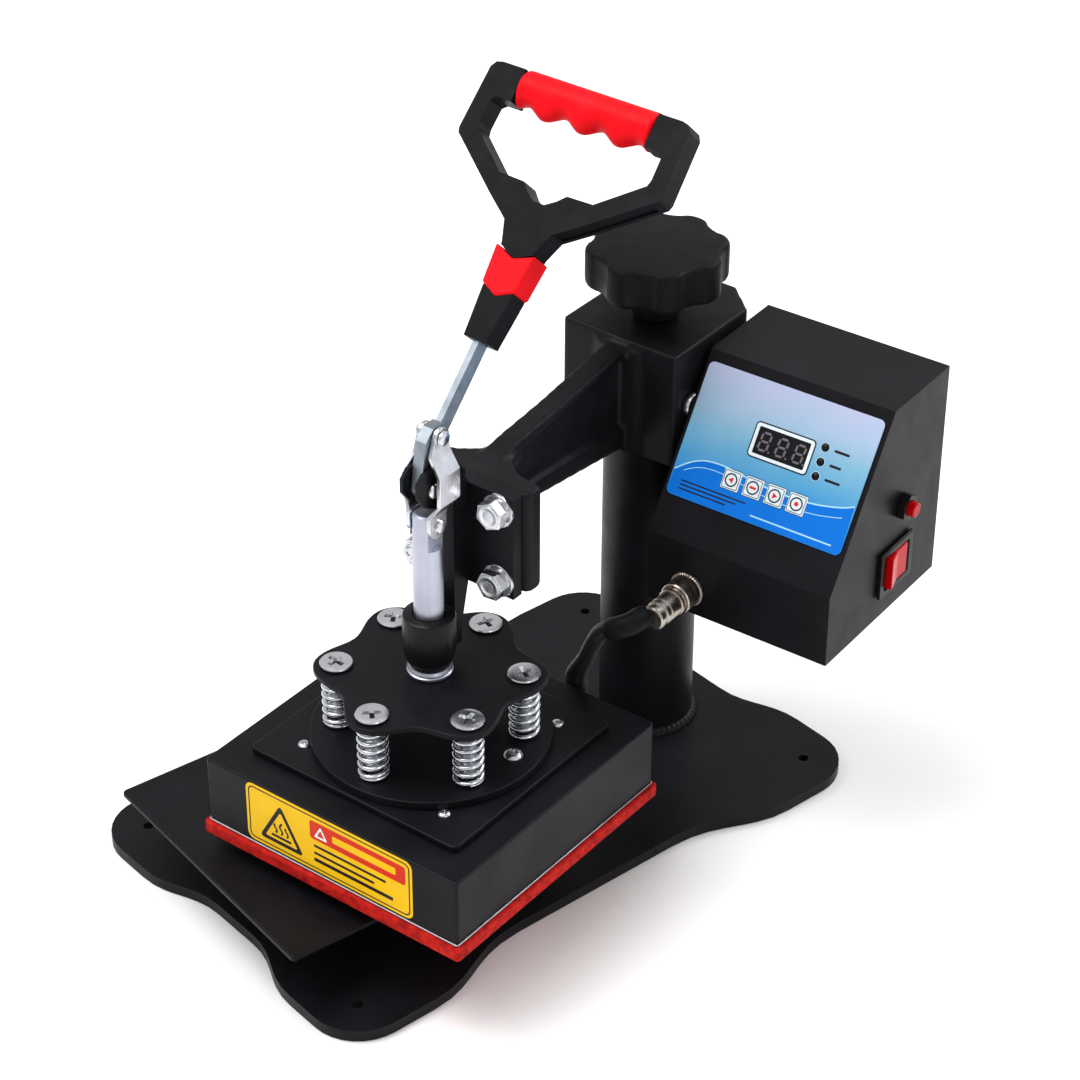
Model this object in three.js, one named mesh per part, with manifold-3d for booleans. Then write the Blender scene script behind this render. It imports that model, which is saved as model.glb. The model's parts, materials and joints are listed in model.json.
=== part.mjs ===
// A small swing-away heat press with flat 150 mm platens. Millimetres, +Z up.
// The origin is the centre of the base plate's underside, and the operator stands on the -Y side.
// The arm, the head and the control box are drawn in the arm's own frame, whose origin is on the
// column's axis with the head towards -Y. The whole arm is then turned about the column by SWING.
import * as THREE from "three";
import { mergeVertices } from "three/addons/utils/BufferGeometryUtils.js";
import Module from "manifold-3d";

const wasm = await Module();
wasm.setup();

// ---- Driving dimensions ----
const GAP = 0.3; // between pieces that touch
const SWING = THREE.MathUtils.degToRad(12.3); // the arm's turn away from the lower platen
const COLUMN_Y = 111;
const COLUMN_R = 24.2;
const COLUMN_TOP = 222;
const REACH = 175; // column axis to plunger axis

const BASE_T = 6;
const BASE = { waistX: 89, earX: 105.5, waistY: 152, earY: 164, earR: 26 };
const BASE_HOLE = { x: 85, y: 143.5, r: 2.6 };
const LOWER = { w: 152, d: 178, t: 3, top: 38.5, y: -75, turn: THREE.MathUtils.degToRad(-3.4) };

const BLOCK = { halfW: 33, front: -30, bottom: 181, top: 242, ceiling: 229 };
const PAD = { front: -144.5, t: 12, halfW: 33.5, bottom: 170.5, top: 224 };
const FLANGE_HALF = 6; // half width of the arm's flanges
const WEB_HALF = 2.8;

const LEVER_PIVOT = { y: -177, z: 233 };
const LINK_TOP = { y: -170, z: 257 };
const LINK_LOW = { y: -175, z: 213.5 };
const FLAT_HALF = 4.6; // half width across the plunger's two flats
const HANDLE_ROOT = { y: -165.3, z: 256.6 };
const HANDLE_TILT = THREE.MathUtils.degToRad(46); // above horizontal, leaning back to the column

const PLUNGER_R = 7;
const PLUNGER_TOP = 219.5;
const SLEEVE = { r: 12.5, bottom: 137.5, top: 163.5 };
const SPRING_PLATE = { bottom: 128, top: 131, r: 49.5, lobe: 5.2 };
const SCREW_CIRCLE = 43.8;
const DISC = { r: 57, bottom: 93.8, top: 98 };
const STEP = { w: 123, d: 118, bottom: 90.3, top: 93.5 };
const COVER = { half: 75, bottom: 55, top: 90, wall: 1.5 };
const HEATER = { half: 73, lip: 75.4, bottom: 53.9, top: 66 };
const PAD_SILICONE = { half: 77, bottom: 46.5, top: 53.6 };

const BOX = { x: 37, y: -57, z: 124.5, w: 100, d: 102, h: 114, kink: 38, setback: 51, wall: 1.2 };
const BOX_TURN = THREE.MathUtils.degToRad(2.2);
const PANEL_TILT = Math.atan2(BOX.setback, BOX.h - BOX.kink); // from the vertical
const KNOB = { bottom: 259, top: 280, r: 33, lobe: 1.8, lobes: 8 };

// ---- Materials ----
const finish = (color, roughness, metalness = 0) =>
  new THREE.MeshStandardMaterial({ color, roughness, metalness });
const BLACK_PAINT = finish(0x17171a, 0.45);
const CAST_BLACK = finish(0x1a1a1d, 0.6);
const ZINC = finish(0xc9cbcf, 0.3, 1);
const CHROME = finish(0xd5d8de, 0.18, 1);
const ALUMINIUM = finish(0xb9bcc0, 0.4, 1);
const BLACK_PLASTIC = finish(0x121214, 0.5);
const RED_RUBBER = finish(0xd8101c, 0.55);
const SILICONE = finish(0xb93220, 0.7);
const BLUE_FILM = finish(0x2f86d6, 0.35);
const GREEN_BOARD = finish(0x17603a, 0.5);
const WOOL = finish(0xd9d3c2, 0.95);
const CABLE = finish(0x141414, 0.55);

// ---- Solids: manifold-3d joins and cuts closed three.js geometries ----
function solid(geometry, matrix) {
  const bare = geometry.index ? geometry.toNonIndexed() : geometry.clone();
  bare.deleteAttribute("normal");
  bare.deleteAttribute("uv");
  if (matrix) bare.applyMatrix4(matrix);
  const merged = mergeVertices(bare, 1e-4);
  return new wasm.Manifold(
    new wasm.Mesh({
      numProp: 3,
      vertProperties: new Float32Array(merged.attributes.position.array),
      triVerts: new Uint32Array(merged.index.array),
    }),
  );
}

function geometryOf(body) {
  const { numProp, vertProperties, triVerts } = body.getMesh();
  const corners = new Float32Array(triVerts.length * 3);
  triVerts.forEach((v, i) => corners.set(vertProperties.subarray(v * numProp, v * numProp + 3), i * 3));
  const geometry = new THREE.BufferGeometry();
  geometry.setAttribute("position", new THREE.BufferAttribute(corners, 3));
  geometry.computeVertexNormals();
  return geometry;
}

const at = (x, y, z) => new THREE.Matrix4().makeTranslation(x, y, z);
const join = (...bodies) => bodies.reduce((a, b) => a.add(b));
const cut = (body, ...tools) => tools.reduce((a, b) => a.subtract(b), body);

// A box between two corners.
function block([x0, y0, z0], [x1, y1, z1]) {
  const size = new THREE.BoxGeometry(x1 - x0, y1 - y0, z1 - z0);
  return solid(size, at((x0 + x1) / 2, (y0 + y1) / 2, (z0 + z1) / 2));
}

// A bar of the given radius from one point to another; a second radius makes it a cone.
function rod(from, to, r, sides = 24, rEnd = r) {
  const a = new THREE.Vector3(...from);
  const b = new THREE.Vector3(...to);
  const bar = new THREE.CylinderGeometry(rEnd, r, a.distanceTo(b), sides);
  const turn = new THREE.Quaternion().setFromUnitVectors(
    new THREE.Vector3(0, 1, 0),
    b.clone().sub(a).normalize(),
  );
  const middle = a.add(b).multiplyScalar(0.5);
  return solid(bar, new THREE.Matrix4().compose(middle, turn, new THREE.Vector3(1, 1, 1)));
}

// A plan outline (x, y) made thick from z0 to z1, with optional round holes [x, y, r].
function plate(points, z0, z1, holes = []) {
  const shape = new THREE.Shape(points.map(([x, y]) => new THREE.Vector2(x, y)));
  for (const [x, y, r] of holes) {
    const hole = new THREE.Path();
    hole.absarc(x, y, r, 0, 2 * Math.PI, true);
    shape.holes.push(hole);
  }
  const settings = { depth: z1 - z0, bevelEnabled: false, curveSegments: 8 };
  return solid(new THREE.ExtrudeGeometry(shape, settings), at(0, 0, z0));
}

// A side outline (y, z) made thick from x0 to x1.
const SIDEWAYS = new THREE.Matrix4().makeBasis(
  new THREE.Vector3(0, 1, 0),
  new THREE.Vector3(0, 0, 1),
  new THREE.Vector3(1, 0, 0),
);
function side(points, x0, x1) {
  const shape = new THREE.Shape(points.map(([y, z]) => new THREE.Vector2(y, z)));
  const slab = new THREE.ExtrudeGeometry(shape, { depth: x1 - x0, bevelEnabled: false });
  return solid(slab, at(x0, 0, 0).multiply(SIDEWAYS));
}

// A profile (radius, z) turned about an upright axis at (x, y).
function turned(profile, x = 0, y = 0, sides = 32) {
  const points = profile.map(([r, z]) => new THREE.Vector2(r, z));
  const upright = new THREE.Matrix4().makeRotationX(Math.PI / 2);
  return solid(new THREE.LatheGeometry(points, sides), at(x, y, 0).multiply(upright));
}

// A flat ring between two radii, from z0 to z1.
const washer = (inner, outer, z0, z1, x, y, sides) =>
  turned([[inner, z0], [outer, z0], [outer, z1], [inner, z1], [inner, z0]], x, y, sides);

// A rectangle's corners with rounded ends, as plan points.
function roundedRect(halfW, halfD, r, steps = 4, x = 0, y = 0) {
  const corners = [[1, 1, 0], [-1, 1, 90], [-1, -1, 180], [1, -1, 270]];
  return corners.flatMap(([sx, sy, start]) =>
    Array.from({ length: steps + 1 }, (_, i) => {
      const angle = THREE.MathUtils.degToRad(start + (90 * i) / steps);
      return [
        x + sx * (halfW - r) + r * Math.cos(angle),
        y + sy * (halfD - r) + r * Math.sin(angle),
      ];
    }),
  );
}

const circlePoint = (r, degrees, x = 0, y = 0) => {
  const a = THREE.MathUtils.degToRad(degrees);
  return [x + r * Math.cos(a), y + r * Math.sin(a)];
};

function tube(points, r, sides, steps) {
  const path = new THREE.CatmullRomCurve3(points.map((p) => new THREE.Vector3(...p)));
  const ring = new THREE.Shape(
    Array.from({ length: sides }, (_, i) => new THREE.Vector2(...circlePoint(r, (360 * i) / sides))),
  );
  return solid(new THREE.ExtrudeGeometry(ring, { steps, extrudePath: path, bevelEnabled: false }));
}

const root = new THREE.Group();
const arm = new THREE.Group();
arm.position.y = COLUMN_Y;
arm.rotation.z = SWING;
root.add(arm);

function piece(parent, name, body, material) {
  const mesh = new THREE.Mesh(geometryOf(body), material);
  mesh.name = name;
  parent.add(mesh);
}

// ---- Base, column and lower platen ----

// A bow-tie plate: four drilled ears joined by shallow waists.
function basePlate() {
  const v = (x, y) => new THREE.Vector2(x, y);
  const { waistX, earX, waistY, earY, earR } = BASE;
  const frontWaist = new THREE.CubicBezierCurve(v(14, waistY), v(34, waistY), v(40, earY), v(60, earY));
  const ear = new THREE.EllipseCurve(earX - earR, earY - earR, earR, earR, Math.PI / 2, 0, true);
  const sideWaist = new THREE.CubicBezierCurve(v(earX, 114), v(earX, 88), v(waistX, 80), v(waistX, 50));
  const quarter = [frontWaist.getPoints(7), ear.getPoints(8), sideWaist.getPoints(7)].flat();
  const corner = quarter.map((p) => [p.x, p.y]);
  const back = corner.slice().reverse();
  const outline = [
    ...corner,
    ...back.map(([x, y]) => [x, -y]),
    ...corner.map(([x, y]) => [-x, -y]),
    ...back.map(([x, y]) => [-x, y]),
  ].reverse();
  const holes = [[1, 1], [-1, 1], [-1, -1], [1, -1]].map(([sx, sy]) => [
    sx * BASE_HOLE.x,
    sy * BASE_HOLE.y,
    BASE_HOLE.r,
  ]);
  return plate(outline, 0, BASE_T, holes);
}

// The tube with a threaded plug welded in its top.
function column() {
  const bore = COLUMN_R - 3;
  const foot = BASE_T + GAP;
  const thread = 6.4;
  const plugFoot = COLUMN_TOP - 12;
  const profile = [
    [bore, foot], [COLUMN_R, foot], [COLUMN_R, COLUMN_TOP], [thread, COLUMN_TOP],
    [thread, plugFoot], [bore, plugFoot], [bore, foot],
  ];
  return turned(profile, 0, COLUMN_Y);
}

function lowerPlaten() {
  const { w, d, t, top } = LOWER;
  return plate(roundedRect(w / 2, d / 2, 2, 2), top - t, top);
}

function platenPost() {
  const foot = BASE_T + GAP;
  const top = LOWER.top - LOWER.t - GAP;
  const profile = [
    [0, foot], [20, foot], [20, 12], [14, 14], [14, 31], [26, 32.5], [26, top], [0, top],
  ];
  return turned(profile, 0, LOWER.y, 24);
}

piece(root, "base_plate", basePlate(), BLACK_PAINT);
piece(root, "column", column(), BLACK_PAINT);
piece(root, "platen_post", platenPost(), BLACK_PAINT);
const lower = new THREE.Group();
lower.position.y = LOWER.y;
lower.rotation.z = LOWER.turn;
root.add(lower);
piece(lower, "lower_platen", lowerPlaten(), BLACK_PAINT);

// ---- Height adjustment at the column's top ----

// The ring on the screw that carries the arm.
const thrustCollar = () => washer(6.3, 15, COLUMN_TOP + 2.3, BLOCK.ceiling - GAP, 0, 0, 24);
const SCREW = { r: 6, bottom: 192, top: 262 };
const pressureScrew = () => rod([0, 0, SCREW.bottom], [0, 0, SCREW.top], SCREW.r, 16);

function pressureKnob() {
  const count = 64;
  const ring = (lobe, r) =>
    Array.from({ length: count }, (_, i) => {
      const degrees = (360 * i) / count;
      const wave = Math.cos(THREE.MathUtils.degToRad(KNOB.lobes * degrees));
      return circlePoint(r + lobe * Math.sign(wave) * Math.abs(wave) ** 0.7, degrees);
    });
  const smaller = ring(KNOB.lobe * 0.6, KNOB.r - 2.6);
  const rim = plate(ring(KNOB.lobe, KNOB.r), KNOB.bottom + 3, KNOB.top - 2.5);
  const top = plate(smaller, KNOB.top - 2.5, KNOB.top);
  const foot = plate(smaller, KNOB.bottom, KNOB.bottom + 3);
  const hub = rod([0, 0, BLOCK.top + 1], [0, 0, KNOB.bottom], 11.5);
  const screwHole = rod([0, 0, BLOCK.top - 2], [0, 0, SCREW.top + GAP], SCREW.r + GAP, 16);
  return cut(join(rim, top, foot, hub), screwHole);
}

piece(arm, "thrust_collar", thrustCollar(), ZINC);
piece(arm, "pressure_screw", pressureScrew(), ZINC);
piece(arm, "pressure_knob", pressureKnob(), BLACK_PLASTIC);

// ---- Arm casting: a bored block on the column, an I-section arm and a flange for the toggle ----
function armCasting() {
  const { halfW, front, bottom, top } = BLOCK;
  const plan = [[halfW, front], [halfW, 30], [16, 45], [-16, 45], [-halfW, 30], [-halfW, front]];
  const body = plate(plan, bottom, top);
  const boss = rod([0, 0, bottom], [0, 0, top - 4], halfW + 0.5, 40);
  const upper = [[-28, 240], [-53, 236], [-84, 231.2], [-115, 227.8], [-134, 224]];
  const lowerEdge = [[-134, 190], [-124, 192.5], [-99, 190.5], [-76, 188], [-28, 183]];
  const web = side([...lowerEdge, ...upper], -WEB_HALF, WEB_HALF);
  const under = upper.map(([y, z]) => [y, z - 5]).reverse();
  const topFlange = side([...upper, ...under], -FLANGE_HALF, FLANGE_HALF);
  const lowFlange = side(
    [...lowerEdge, [-28, 196], [-99, 199.6], [-134, 200]],
    -FLANGE_HALF,
    FLANGE_HALF,
  );
  const padY = PAD.front + PAD.t / 2;
  const pad = plate(roundedRect(PAD.halfW, PAD.t / 2, 3.5, 3, 0, padY), PAD.bottom, PAD.top);
  // The arm's top and bottom spread out to the flange's width.
  const spread = [
    [-32, -134], [-18, -131], [-9, -124], [-6, -112], [6, -112], [9, -124], [18, -131], [32, -134],
  ];
  const topSpread = plate(spread, PAD.top - 7, PAD.top);
  const lowSpread = plate(spread, PAD.bottom, PAD.bottom + 5.5);
  const casting = join(body, boss, web, topFlange, lowFlange, pad, topSpread, lowSpread);
  const bore = rod([0, 0, bottom - 1], [0, 0, BLOCK.ceiling], COLUMN_R + 0.4, 40);
  const screwHole = rod([0, 0, bottom], [0, 0, top + 1], 7, 20);
  return cut(casting, bore, screwHole);
}
piece(arm, "arm_casting", armCasting(), CAST_BLACK);

const PIN_R = 2.4;
const pinHole = (p) => rod([-9, p.y, p.z], [9, p.y, p.z], PIN_R + GAP, 16);

// ---- Toggle bracket: flange plate, web, sleeve strap and a two-cheeked fork for the lever ----
const CHEEK = { inner: 3.4, outer: 5.4 };
const WEB_FRONT = -161.2; // where the bracket's web meets the guide sleeve
function toggleBracket() {
  const back = PAD.front - GAP;
  const flange = block([-30.3, back - 6.2, 170], [30.3, back, PAD.top]);
  const webSide = [
    [WEB_FRONT, 138.5], [-156.5, 138.5], [-155, 152], [back - 6, 170], [back - 6, 226], [WEB_FRONT, 226],
  ];
  const web = side(webSide, -4, 4);
  const cheekSide = [
    [-187, 233], [-187, 240], [-183, 244], [-172, 244.8], [-160, 239], [-154, 233], [-154, 223],
    [-176, 223], [-182, 226],
  ];
  const cheeks = join(
    side(cheekSide, -CHEEK.outer, -CHEEK.inner),
    side(cheekSide, CHEEK.inner, CHEEK.outer),
  );
  const forkRoot = block([-CHEEK.outer, -160.5, 214], [CHEEK.outer, -154, 233]);
  return cut(join(flange, web, cheeks, forkRoot), pinHole(LEVER_PIVOT));
}

function guideSleeve() {
  const { r, bottom, top } = SLEEVE;
  const inner = PLUNGER_R + 0.4;
  const profile = [
    [inner, bottom], [r - 2, bottom], [r, bottom + 7], [r, top - 1], [r - 1, top], [inner, top],
    [inner, bottom],
  ];
  const webSlot = block([-4 - GAP, WEB_FRONT - 3.8, bottom - 1], [4 + GAP, WEB_FRONT + GAP, top + 1]);
  return cut(turned(profile, 0, -REACH), webSlot);
}

// A pin along X with a round head at each end.
const acrossPin = (p, half) =>
  join(
    rod([-half, p.y, p.z], [half, p.y, p.z], PIN_R, 16),
    rod([half, p.y, p.z], [half + 1.6, p.y, p.z], 3.6, 16),
    rod([-half - 1.6, p.y, p.z], [-half, p.y, p.z], 3.6, 16),
  );

piece(arm, "toggle_bracket", toggleBracket(), BLACK_PAINT);
piece(arm, "guide_sleeve", guideSleeve(), BLACK_PAINT);
piece(arm, "lever_pivot_pin", acrossPin(LEVER_PIVOT, CHEEK.outer + GAP), ZINC);

// ---- Lever, its links and the D-handle ----
function leverCrank() {
  const half = 2.9;
  const { y, z } = LEVER_PIVOT;
  const foot = [-170, -135, -90, -45, -10].map((degrees) => circlePoint(5.2, degrees, y, z));
  const camSide = [
    ...foot, [-167, 247], [-163.5, 256], [-166, 262], [-173, 262], [-178.5, 257], [-180.5, 245],
  ];
  const c = Math.cos(HANDLE_TILT);
  const s = Math.sin(HANDLE_TILT);
  const along = (v, w) => [HANDLE_ROOT.y + v * c - w * s, HANDLE_ROOT.z + v * s + w * c];
  const bar = side([along(-2, -4), along(62, -4), along(62, 4), along(-2, 4)], -1.6, 1.6);
  return cut(join(side(camSide, -half, half), bar), pinHole(LEVER_PIVOT), pinHole(LINK_TOP));
}

// A folded strap: close to the lever at its top pin, wide round the fork and close to the
// plunger's flats below.
const LINK = { t: 2.2, top: 3.3, wide: 8.4, low: FLAT_HALF + GAP };
function link(sign) {
  const { t, top, wide, low } = LINK;
  const inner = [
    [top, LINK_TOP.z + 8], [top, LINK_TOP.z - 7], [wide, LINK_TOP.z - 16], [wide, LINK_LOW.z + 12],
    [low, LINK_LOW.z + 7], [low, LINK_LOW.z - 8],
  ];
  const folded = [...inner, ...inner.map(([x, z]) => [x + t, z]).reverse()];
  const shape = new THREE.Shape(folded.map(([x, z]) => new THREE.Vector2(sign * x, z)));
  const upright = new THREE.Matrix4().makeRotationX(Math.PI / 2);
  const strap = new THREE.ExtrudeGeometry(shape, { depth: 60, bevelEnabled: false });
  const head = [0, 36, 72, 108, 144, 180].map((a) => circlePoint(5, a, LINK_TOP.y, LINK_TOP.z));
  const foot = [180, 216, 252, 288, 324, 360].map((a) => circlePoint(6, a, LINK_LOW.y - 0.5, LINK_LOW.z));
  const sideView = [
    ...head, [-178, 249], [-178.3, 226], [-181.5, 219.5],
    ...foot, [-169.5, 219.5], [-164, 226], [-164, 240],
  ];
  const mask = side(sideView, sign > 0 ? 0 : -20, sign > 0 ? 20 : 0);
  const body = solid(strap, at(0, -140, 0).multiply(upright)).intersect(mask);
  const { y, z } = LINK_LOW;
  const rivet = rod([sign * (low + 1), y, z], [sign * (low + t + 1.5), y, z], 3.2, 16);
  return join(cut(body, pinHole(LINK_TOP)), rivet);
}

const handle = new THREE.Group();
handle.position.set(0, HANDLE_ROOT.y, HANDLE_ROOT.z);
handle.rotation.x = HANDLE_TILT - Math.PI / 2;
arm.add(handle);

// Handle pieces stand in a frame with the bar along +Z and the grip along X.
// A front outline (x, z) made thick from y0 to y1, with an optional hole.
function standing(points, y0, y1, hole) {
  const vectors = (outline) => outline.map(([x, z]) => new THREE.Vector2(x, z));
  const shape = new THREE.Shape(vectors(points));
  if (hole) {
    shape.holes.push(new THREE.Path(vectors(hole)));
  }
  const slab = new THREE.ExtrudeGeometry(shape, { depth: y1 - y0, bevelEnabled: false });
  return solid(slab, at(0, y1, 0).multiply(new THREE.Matrix4().makeRotationX(Math.PI / 2)));
}
const mirrored = (half) => [...half, ...half.map(([x, z]) => [-x, z]).reverse()];
const HANDLE_HALF = 6; // half thickness of the D
const GRIP = { half: 36.5, v: 158.4, r: 8.4, wave: 2, pitch: 20.5, coreR: 5 };
const SEAT = { x: 5.5, y: 4.6 }; // half size of the frame's neck inside the collar
const gripCore = (r) => rod([-60, 0, GRIP.v], [60, 0, GRIP.v], r, 16);
const frameNeck = (gap) => block([-SEAT.x - gap, -SEAT.y - gap, 60], [SEAT.x + gap, SEAT.y + gap, 90]);

function handleFrame() {
  const outer = mirrored([
    [6.2, 43], [8.2, 66], [9, 88], [13, 98], [26.3, 107], [55.4, 128], [56.3, 130.5],
    [55, 161.5], [53, 164.5], [49.5, 165.3],
  ]);
  const inner = mirrored([
    [3, 109.8], [8, 113], [12, 116.8], [26, 117.2], [47, 133], [47.8, 136], [47.4, 147], [45, 149],
  ]);
  const body = standing(outer, -HANDLE_HALF, HANDLE_HALF, inner.reverse());
  const gripSpace = block([-GRIP.half - GAP, -20, 140], [GRIP.half + GAP, 20, 175]);
  const gripSeat = cut(gripSpace, gripCore(GRIP.coreR));
  const collarSeat = cut(block([-20, -20, 68], [20, 20, 87]), frameNeck(0));
  const barSlot = block([-1.6 - GAP, -4 - GAP, 40], [1.6 + GAP, 4 + GAP, 62 + GAP]);
  return cut(body, gripSeat, collarSeat, barSlot);
}

// A round bar with four finger grooves along its inner side.
function handleGrip() {
  const steps = 32;
  const grooves = Array.from({ length: steps + 1 }, (_, i) => {
    const x = GRIP.half * ((2 * i) / steps - 1);
    return [x, GRIP.v - GRIP.r - 1.6 - GRIP.wave * Math.cos((2 * Math.PI * x) / GRIP.pitch)];
  });
  const sideView = standing([...grooves, [GRIP.half, 169.5], [-GRIP.half, 169.5]], -12, 12);
  const section = Array.from({ length: 20 }, (_, i) => {
    const [y, z] = circlePoint(GRIP.r, 18 * i);
    return [y, GRIP.v + (z < 0 ? 1.45 * z : z)];
  });
  const round = side(section, -GRIP.half, GRIP.half);
  return cut(sideView.intersect(round), gripCore(GRIP.coreR + GAP));
}

function handleCollar() {
  const body = standing([[-9, 68.3], [9, 68.3], [10.6, 86.7], [-10.6, 86.7]], -6.8, 6.8);
  return cut(body, frameNeck(GAP));
}

piece(arm, "lever_crank", leverCrank(), ZINC);
piece(arm, "link_pin", acrossPin(LINK_TOP, LINK.top + LINK.t + GAP), ZINC);
piece(arm, "link_right", link(1), ZINC);
piece(arm, "link_left", link(-1), ZINC);
piece(handle, "handle_frame", handleFrame(), BLACK_PLASTIC);
piece(handle, "handle_grip", handleGrip(), RED_RUBBER);
piece(handle, "handle_collar", handleCollar(), RED_RUBBER);

// ---- Plunger and spring plate ----
const screwAngles = [0, 1, 2, 3, 4, 5].map((i) => 92 + 60 * i);
const screwPlaces = screwAngles.map((degrees) => circlePoint(SCREW_CIRCLE, degrees, 0, -REACH));

function plunger() {
  const shaft = rod([0, -REACH, SPRING_PLATE.bottom + 1], [0, -REACH, PLUNGER_TOP], PLUNGER_R, 32);
  const sideCut = (x0, x1) => block([x0, -190, 201], [x1, -160, 230]);
  return cut(shaft, sideCut(FLAT_HALF, 12), sideCut(-12, -FLAT_HALF), pinHole(LINK_LOW));
}

function springPlate() {
  const edge = Array.from({ length: 72 }, (_, i) => {
    const degrees = 5 * i;
    const wave = Math.cos(THREE.MathUtils.degToRad(6 * (degrees - screwAngles[0])));
    return circlePoint(SPRING_PLATE.r + SPRING_PLATE.lobe * wave, degrees, 0, -REACH);
  });
  const holes = [[0, -REACH, PLUNGER_R + GAP], ...screwPlaces.map(([x, y]) => [x, y, 4.4])];
  return plate(edge, SPRING_PLATE.bottom, SPRING_PLATE.top, holes);
}

function ringNut() {
  const inner = PLUNGER_R + GAP;
  const foot = SPRING_PLATE.top + GAP;
  const profile = [
    [inner, foot], [10.9, foot], [10.9, 135.2], [10, 136.2], [inner, 136.2], [inner, foot],
  ];
  return turned(profile, 0, -REACH);
}

// A headless pin held between the two links.
function plungerPin() {
  const { y, z } = LINK_LOW;
  const half = FLAT_HALF - 0.2;
  return rod([-half, y, z], [half, y, z], PIN_R, 16);
}

piece(arm, "plunger", plunger(), CHROME);
piece(arm, "plunger_pin", plungerPin(), ZINC);
piece(arm, "ring_nut", ringNut(), CHROME);
piece(arm, "spring_plate", springPlate(), BLACK_PAINT);

// ---- Head: hangs from the spring plate on six screws, pushed down by six springs ----
function floatScrew(x, y) {
  const foot = DISC.bottom + 0.4;
  const seat = SPRING_PLATE.top + 0.4;
  const profile = [
    [0, foot], [3.9, foot], [3.9, seat], [7.4, seat], [7.9, seat + 0.6], [7.2, seat + 1.6],
    [0, seat + 1.8],
  ];
  return turned(profile, x, y, 16);
}

// A spring drawn as the tube its coils fill.
const SPRING = { inner: 5.3, outer: 7.6, bottom: DISC.top + GAP, top: SPRING_PLATE.bottom - GAP };
const springTube = (x, y) =>
  washer(SPRING.inner, SPRING.outer, SPRING.bottom, SPRING.top, x, y, 16);

function headDisc() {
  const edge = Array.from({ length: 48 }, (_, i) => circlePoint(DISC.r, 7.5 * i, 0, -REACH));
  return plate(edge, DISC.bottom, DISC.top, screwPlaces.map(([x, y]) => [x, y, 4.3]));
}

const headBox = (half, z0, z1, r = 1) => plate(roundedRect(half, half, r, 2, 0, -REACH), z0, z1);

const LEAD_END = { x: 22, z: 76 }; // where the lead goes in at the back
function headCover() {
  const inside = COVER.half - COVER.wall;
  const outer = headBox(COVER.half, COVER.bottom, COVER.top, 1.5);
  const hollow = headBox(inside, COVER.bottom - 5, COVER.top - COVER.wall);
  const leadHole = rod([LEAD_END.x, -105, LEAD_END.z], [LEAD_END.x, -95, LEAD_END.z], 6.3, 16);
  return cut(outer, hollow, leadHole);
}

// The heated block stands in the cover; its thin lip closes the cover's open side.
function heaterPlate() {
  const lipTop = COVER.bottom - GAP;
  const lip = headBox(HEATER.lip, HEATER.bottom, lipTop, 1.5);
  return join(lip, headBox(HEATER.half, lipTop - 0.2, HEATER.top));
}

function stepPlate() {
  const plan = roundedRect(STEP.w / 2, STEP.d / 2, 3, 2, 0, -REACH);
  return plate(plan, STEP.bottom, STEP.top);
}

const siliconePad = () =>
  headBox(PAD_SILICONE.half, PAD_SILICONE.bottom, PAD_SILICONE.top, 1.5);

screwPlaces.forEach(([x, y], i) => {
  piece(arm, `float_screw_${i + 1}`, floatScrew(x, y), ZINC);
  piece(arm, `spring_${i + 1}`, springTube(x, y), CHROME);
});
piece(arm, "head_disc", headDisc(), BLACK_PAINT);
piece(arm, "step_plate", stepPlate(), BLACK_PAINT);
piece(arm, "head_cover", headCover(), BLACK_PAINT);
piece(arm, "insulation", headBox(72.6, HEATER.top + GAP, 82), WOOL);
piece(arm, "heater_plate", heaterPlate(), ALUMINIUM);
piece(arm, "silicone_pad", siliconePad(), SILICONE);

// ---- Control box, in its own frame: origin at its lower left front corner ----
// It sits turned a little about the middle of its left side.
const box = new THREE.Group();
box.position.set(
  BOX.x + (BOX.d / 2) * Math.sin(BOX_TURN),
  BOX.y + (BOX.d / 2) * (1 - Math.cos(BOX_TURN)),
  BOX.z,
);
box.rotation.z = BOX_TURN;
arm.add(box);

const BOX_SIDE = [[0, 0], [BOX.d, 0], [BOX.d, BOX.h], [BOX.setback, BOX.h], [0, BOX.kink]];
// Points of the sloping panel: u along X, v up the slope from the kink, n out of it.
const panelPoint = (u, v, n) => [
  u,
  v * Math.sin(PANEL_TILT) - n * Math.cos(PANEL_TILT),
  BOX.kink + v * Math.cos(PANEL_TILT) + n * Math.sin(PANEL_TILT),
];
const PANEL_FRAME = new THREE.Matrix4()
  .makeBasis(
    new THREE.Vector3(1, 0, 0),
    new THREE.Vector3(0, Math.sin(PANEL_TILT), Math.cos(PANEL_TILT)),
    new THREE.Vector3(0, -Math.cos(PANEL_TILT), Math.sin(PANEL_TILT)),
  )
  .setPosition(...panelPoint(0, 0, 0));

// A slab lying on the panel between two (u, v) corners, from height n0 to n1 above it.
function onPanel([u0, v0], [u1, v1], n0, n1) {
  const slab = new THREE.BoxGeometry(u1 - u0, v1 - v0, n1 - n0);
  return solid(slab, PANEL_FRAME.clone().multiply(at((u0 + u1) / 2, (v0 + v1) / 2, (n0 + n1) / 2)));
}

const KEYS = [33, 44.9, 56.8, 68.7];
const KEY = { v: 36, half: 4.8 };
const DISPLAY = { u0: 38, u1: 66, v0: 51.5, v1: 64.8 };
const BREAKER = { y: 65, z: 55.5 };
const ROCKER = { y: 60, z: 25, w: 30, h: 25 };
const PLUG = { x: 23.5, z: 14 };
const GLAND = { x: 70, z: 22 };

// The openings over the display and the four keys, as slabs to cut with.
function panelWindows() {
  const display = onPanel(
    [DISPLAY.u0 - GAP, DISPLAY.v0 - GAP],
    [DISPLAY.u1 + GAP, DISPLAY.v1 + GAP],
    -4,
    4,
  );
  const half = KEY.half + GAP;
  const keys = KEYS.map((u) => onPanel([u - half, KEY.v - half], [u + half, KEY.v + half], -4, 4));
  return [display, ...keys];
}

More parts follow.
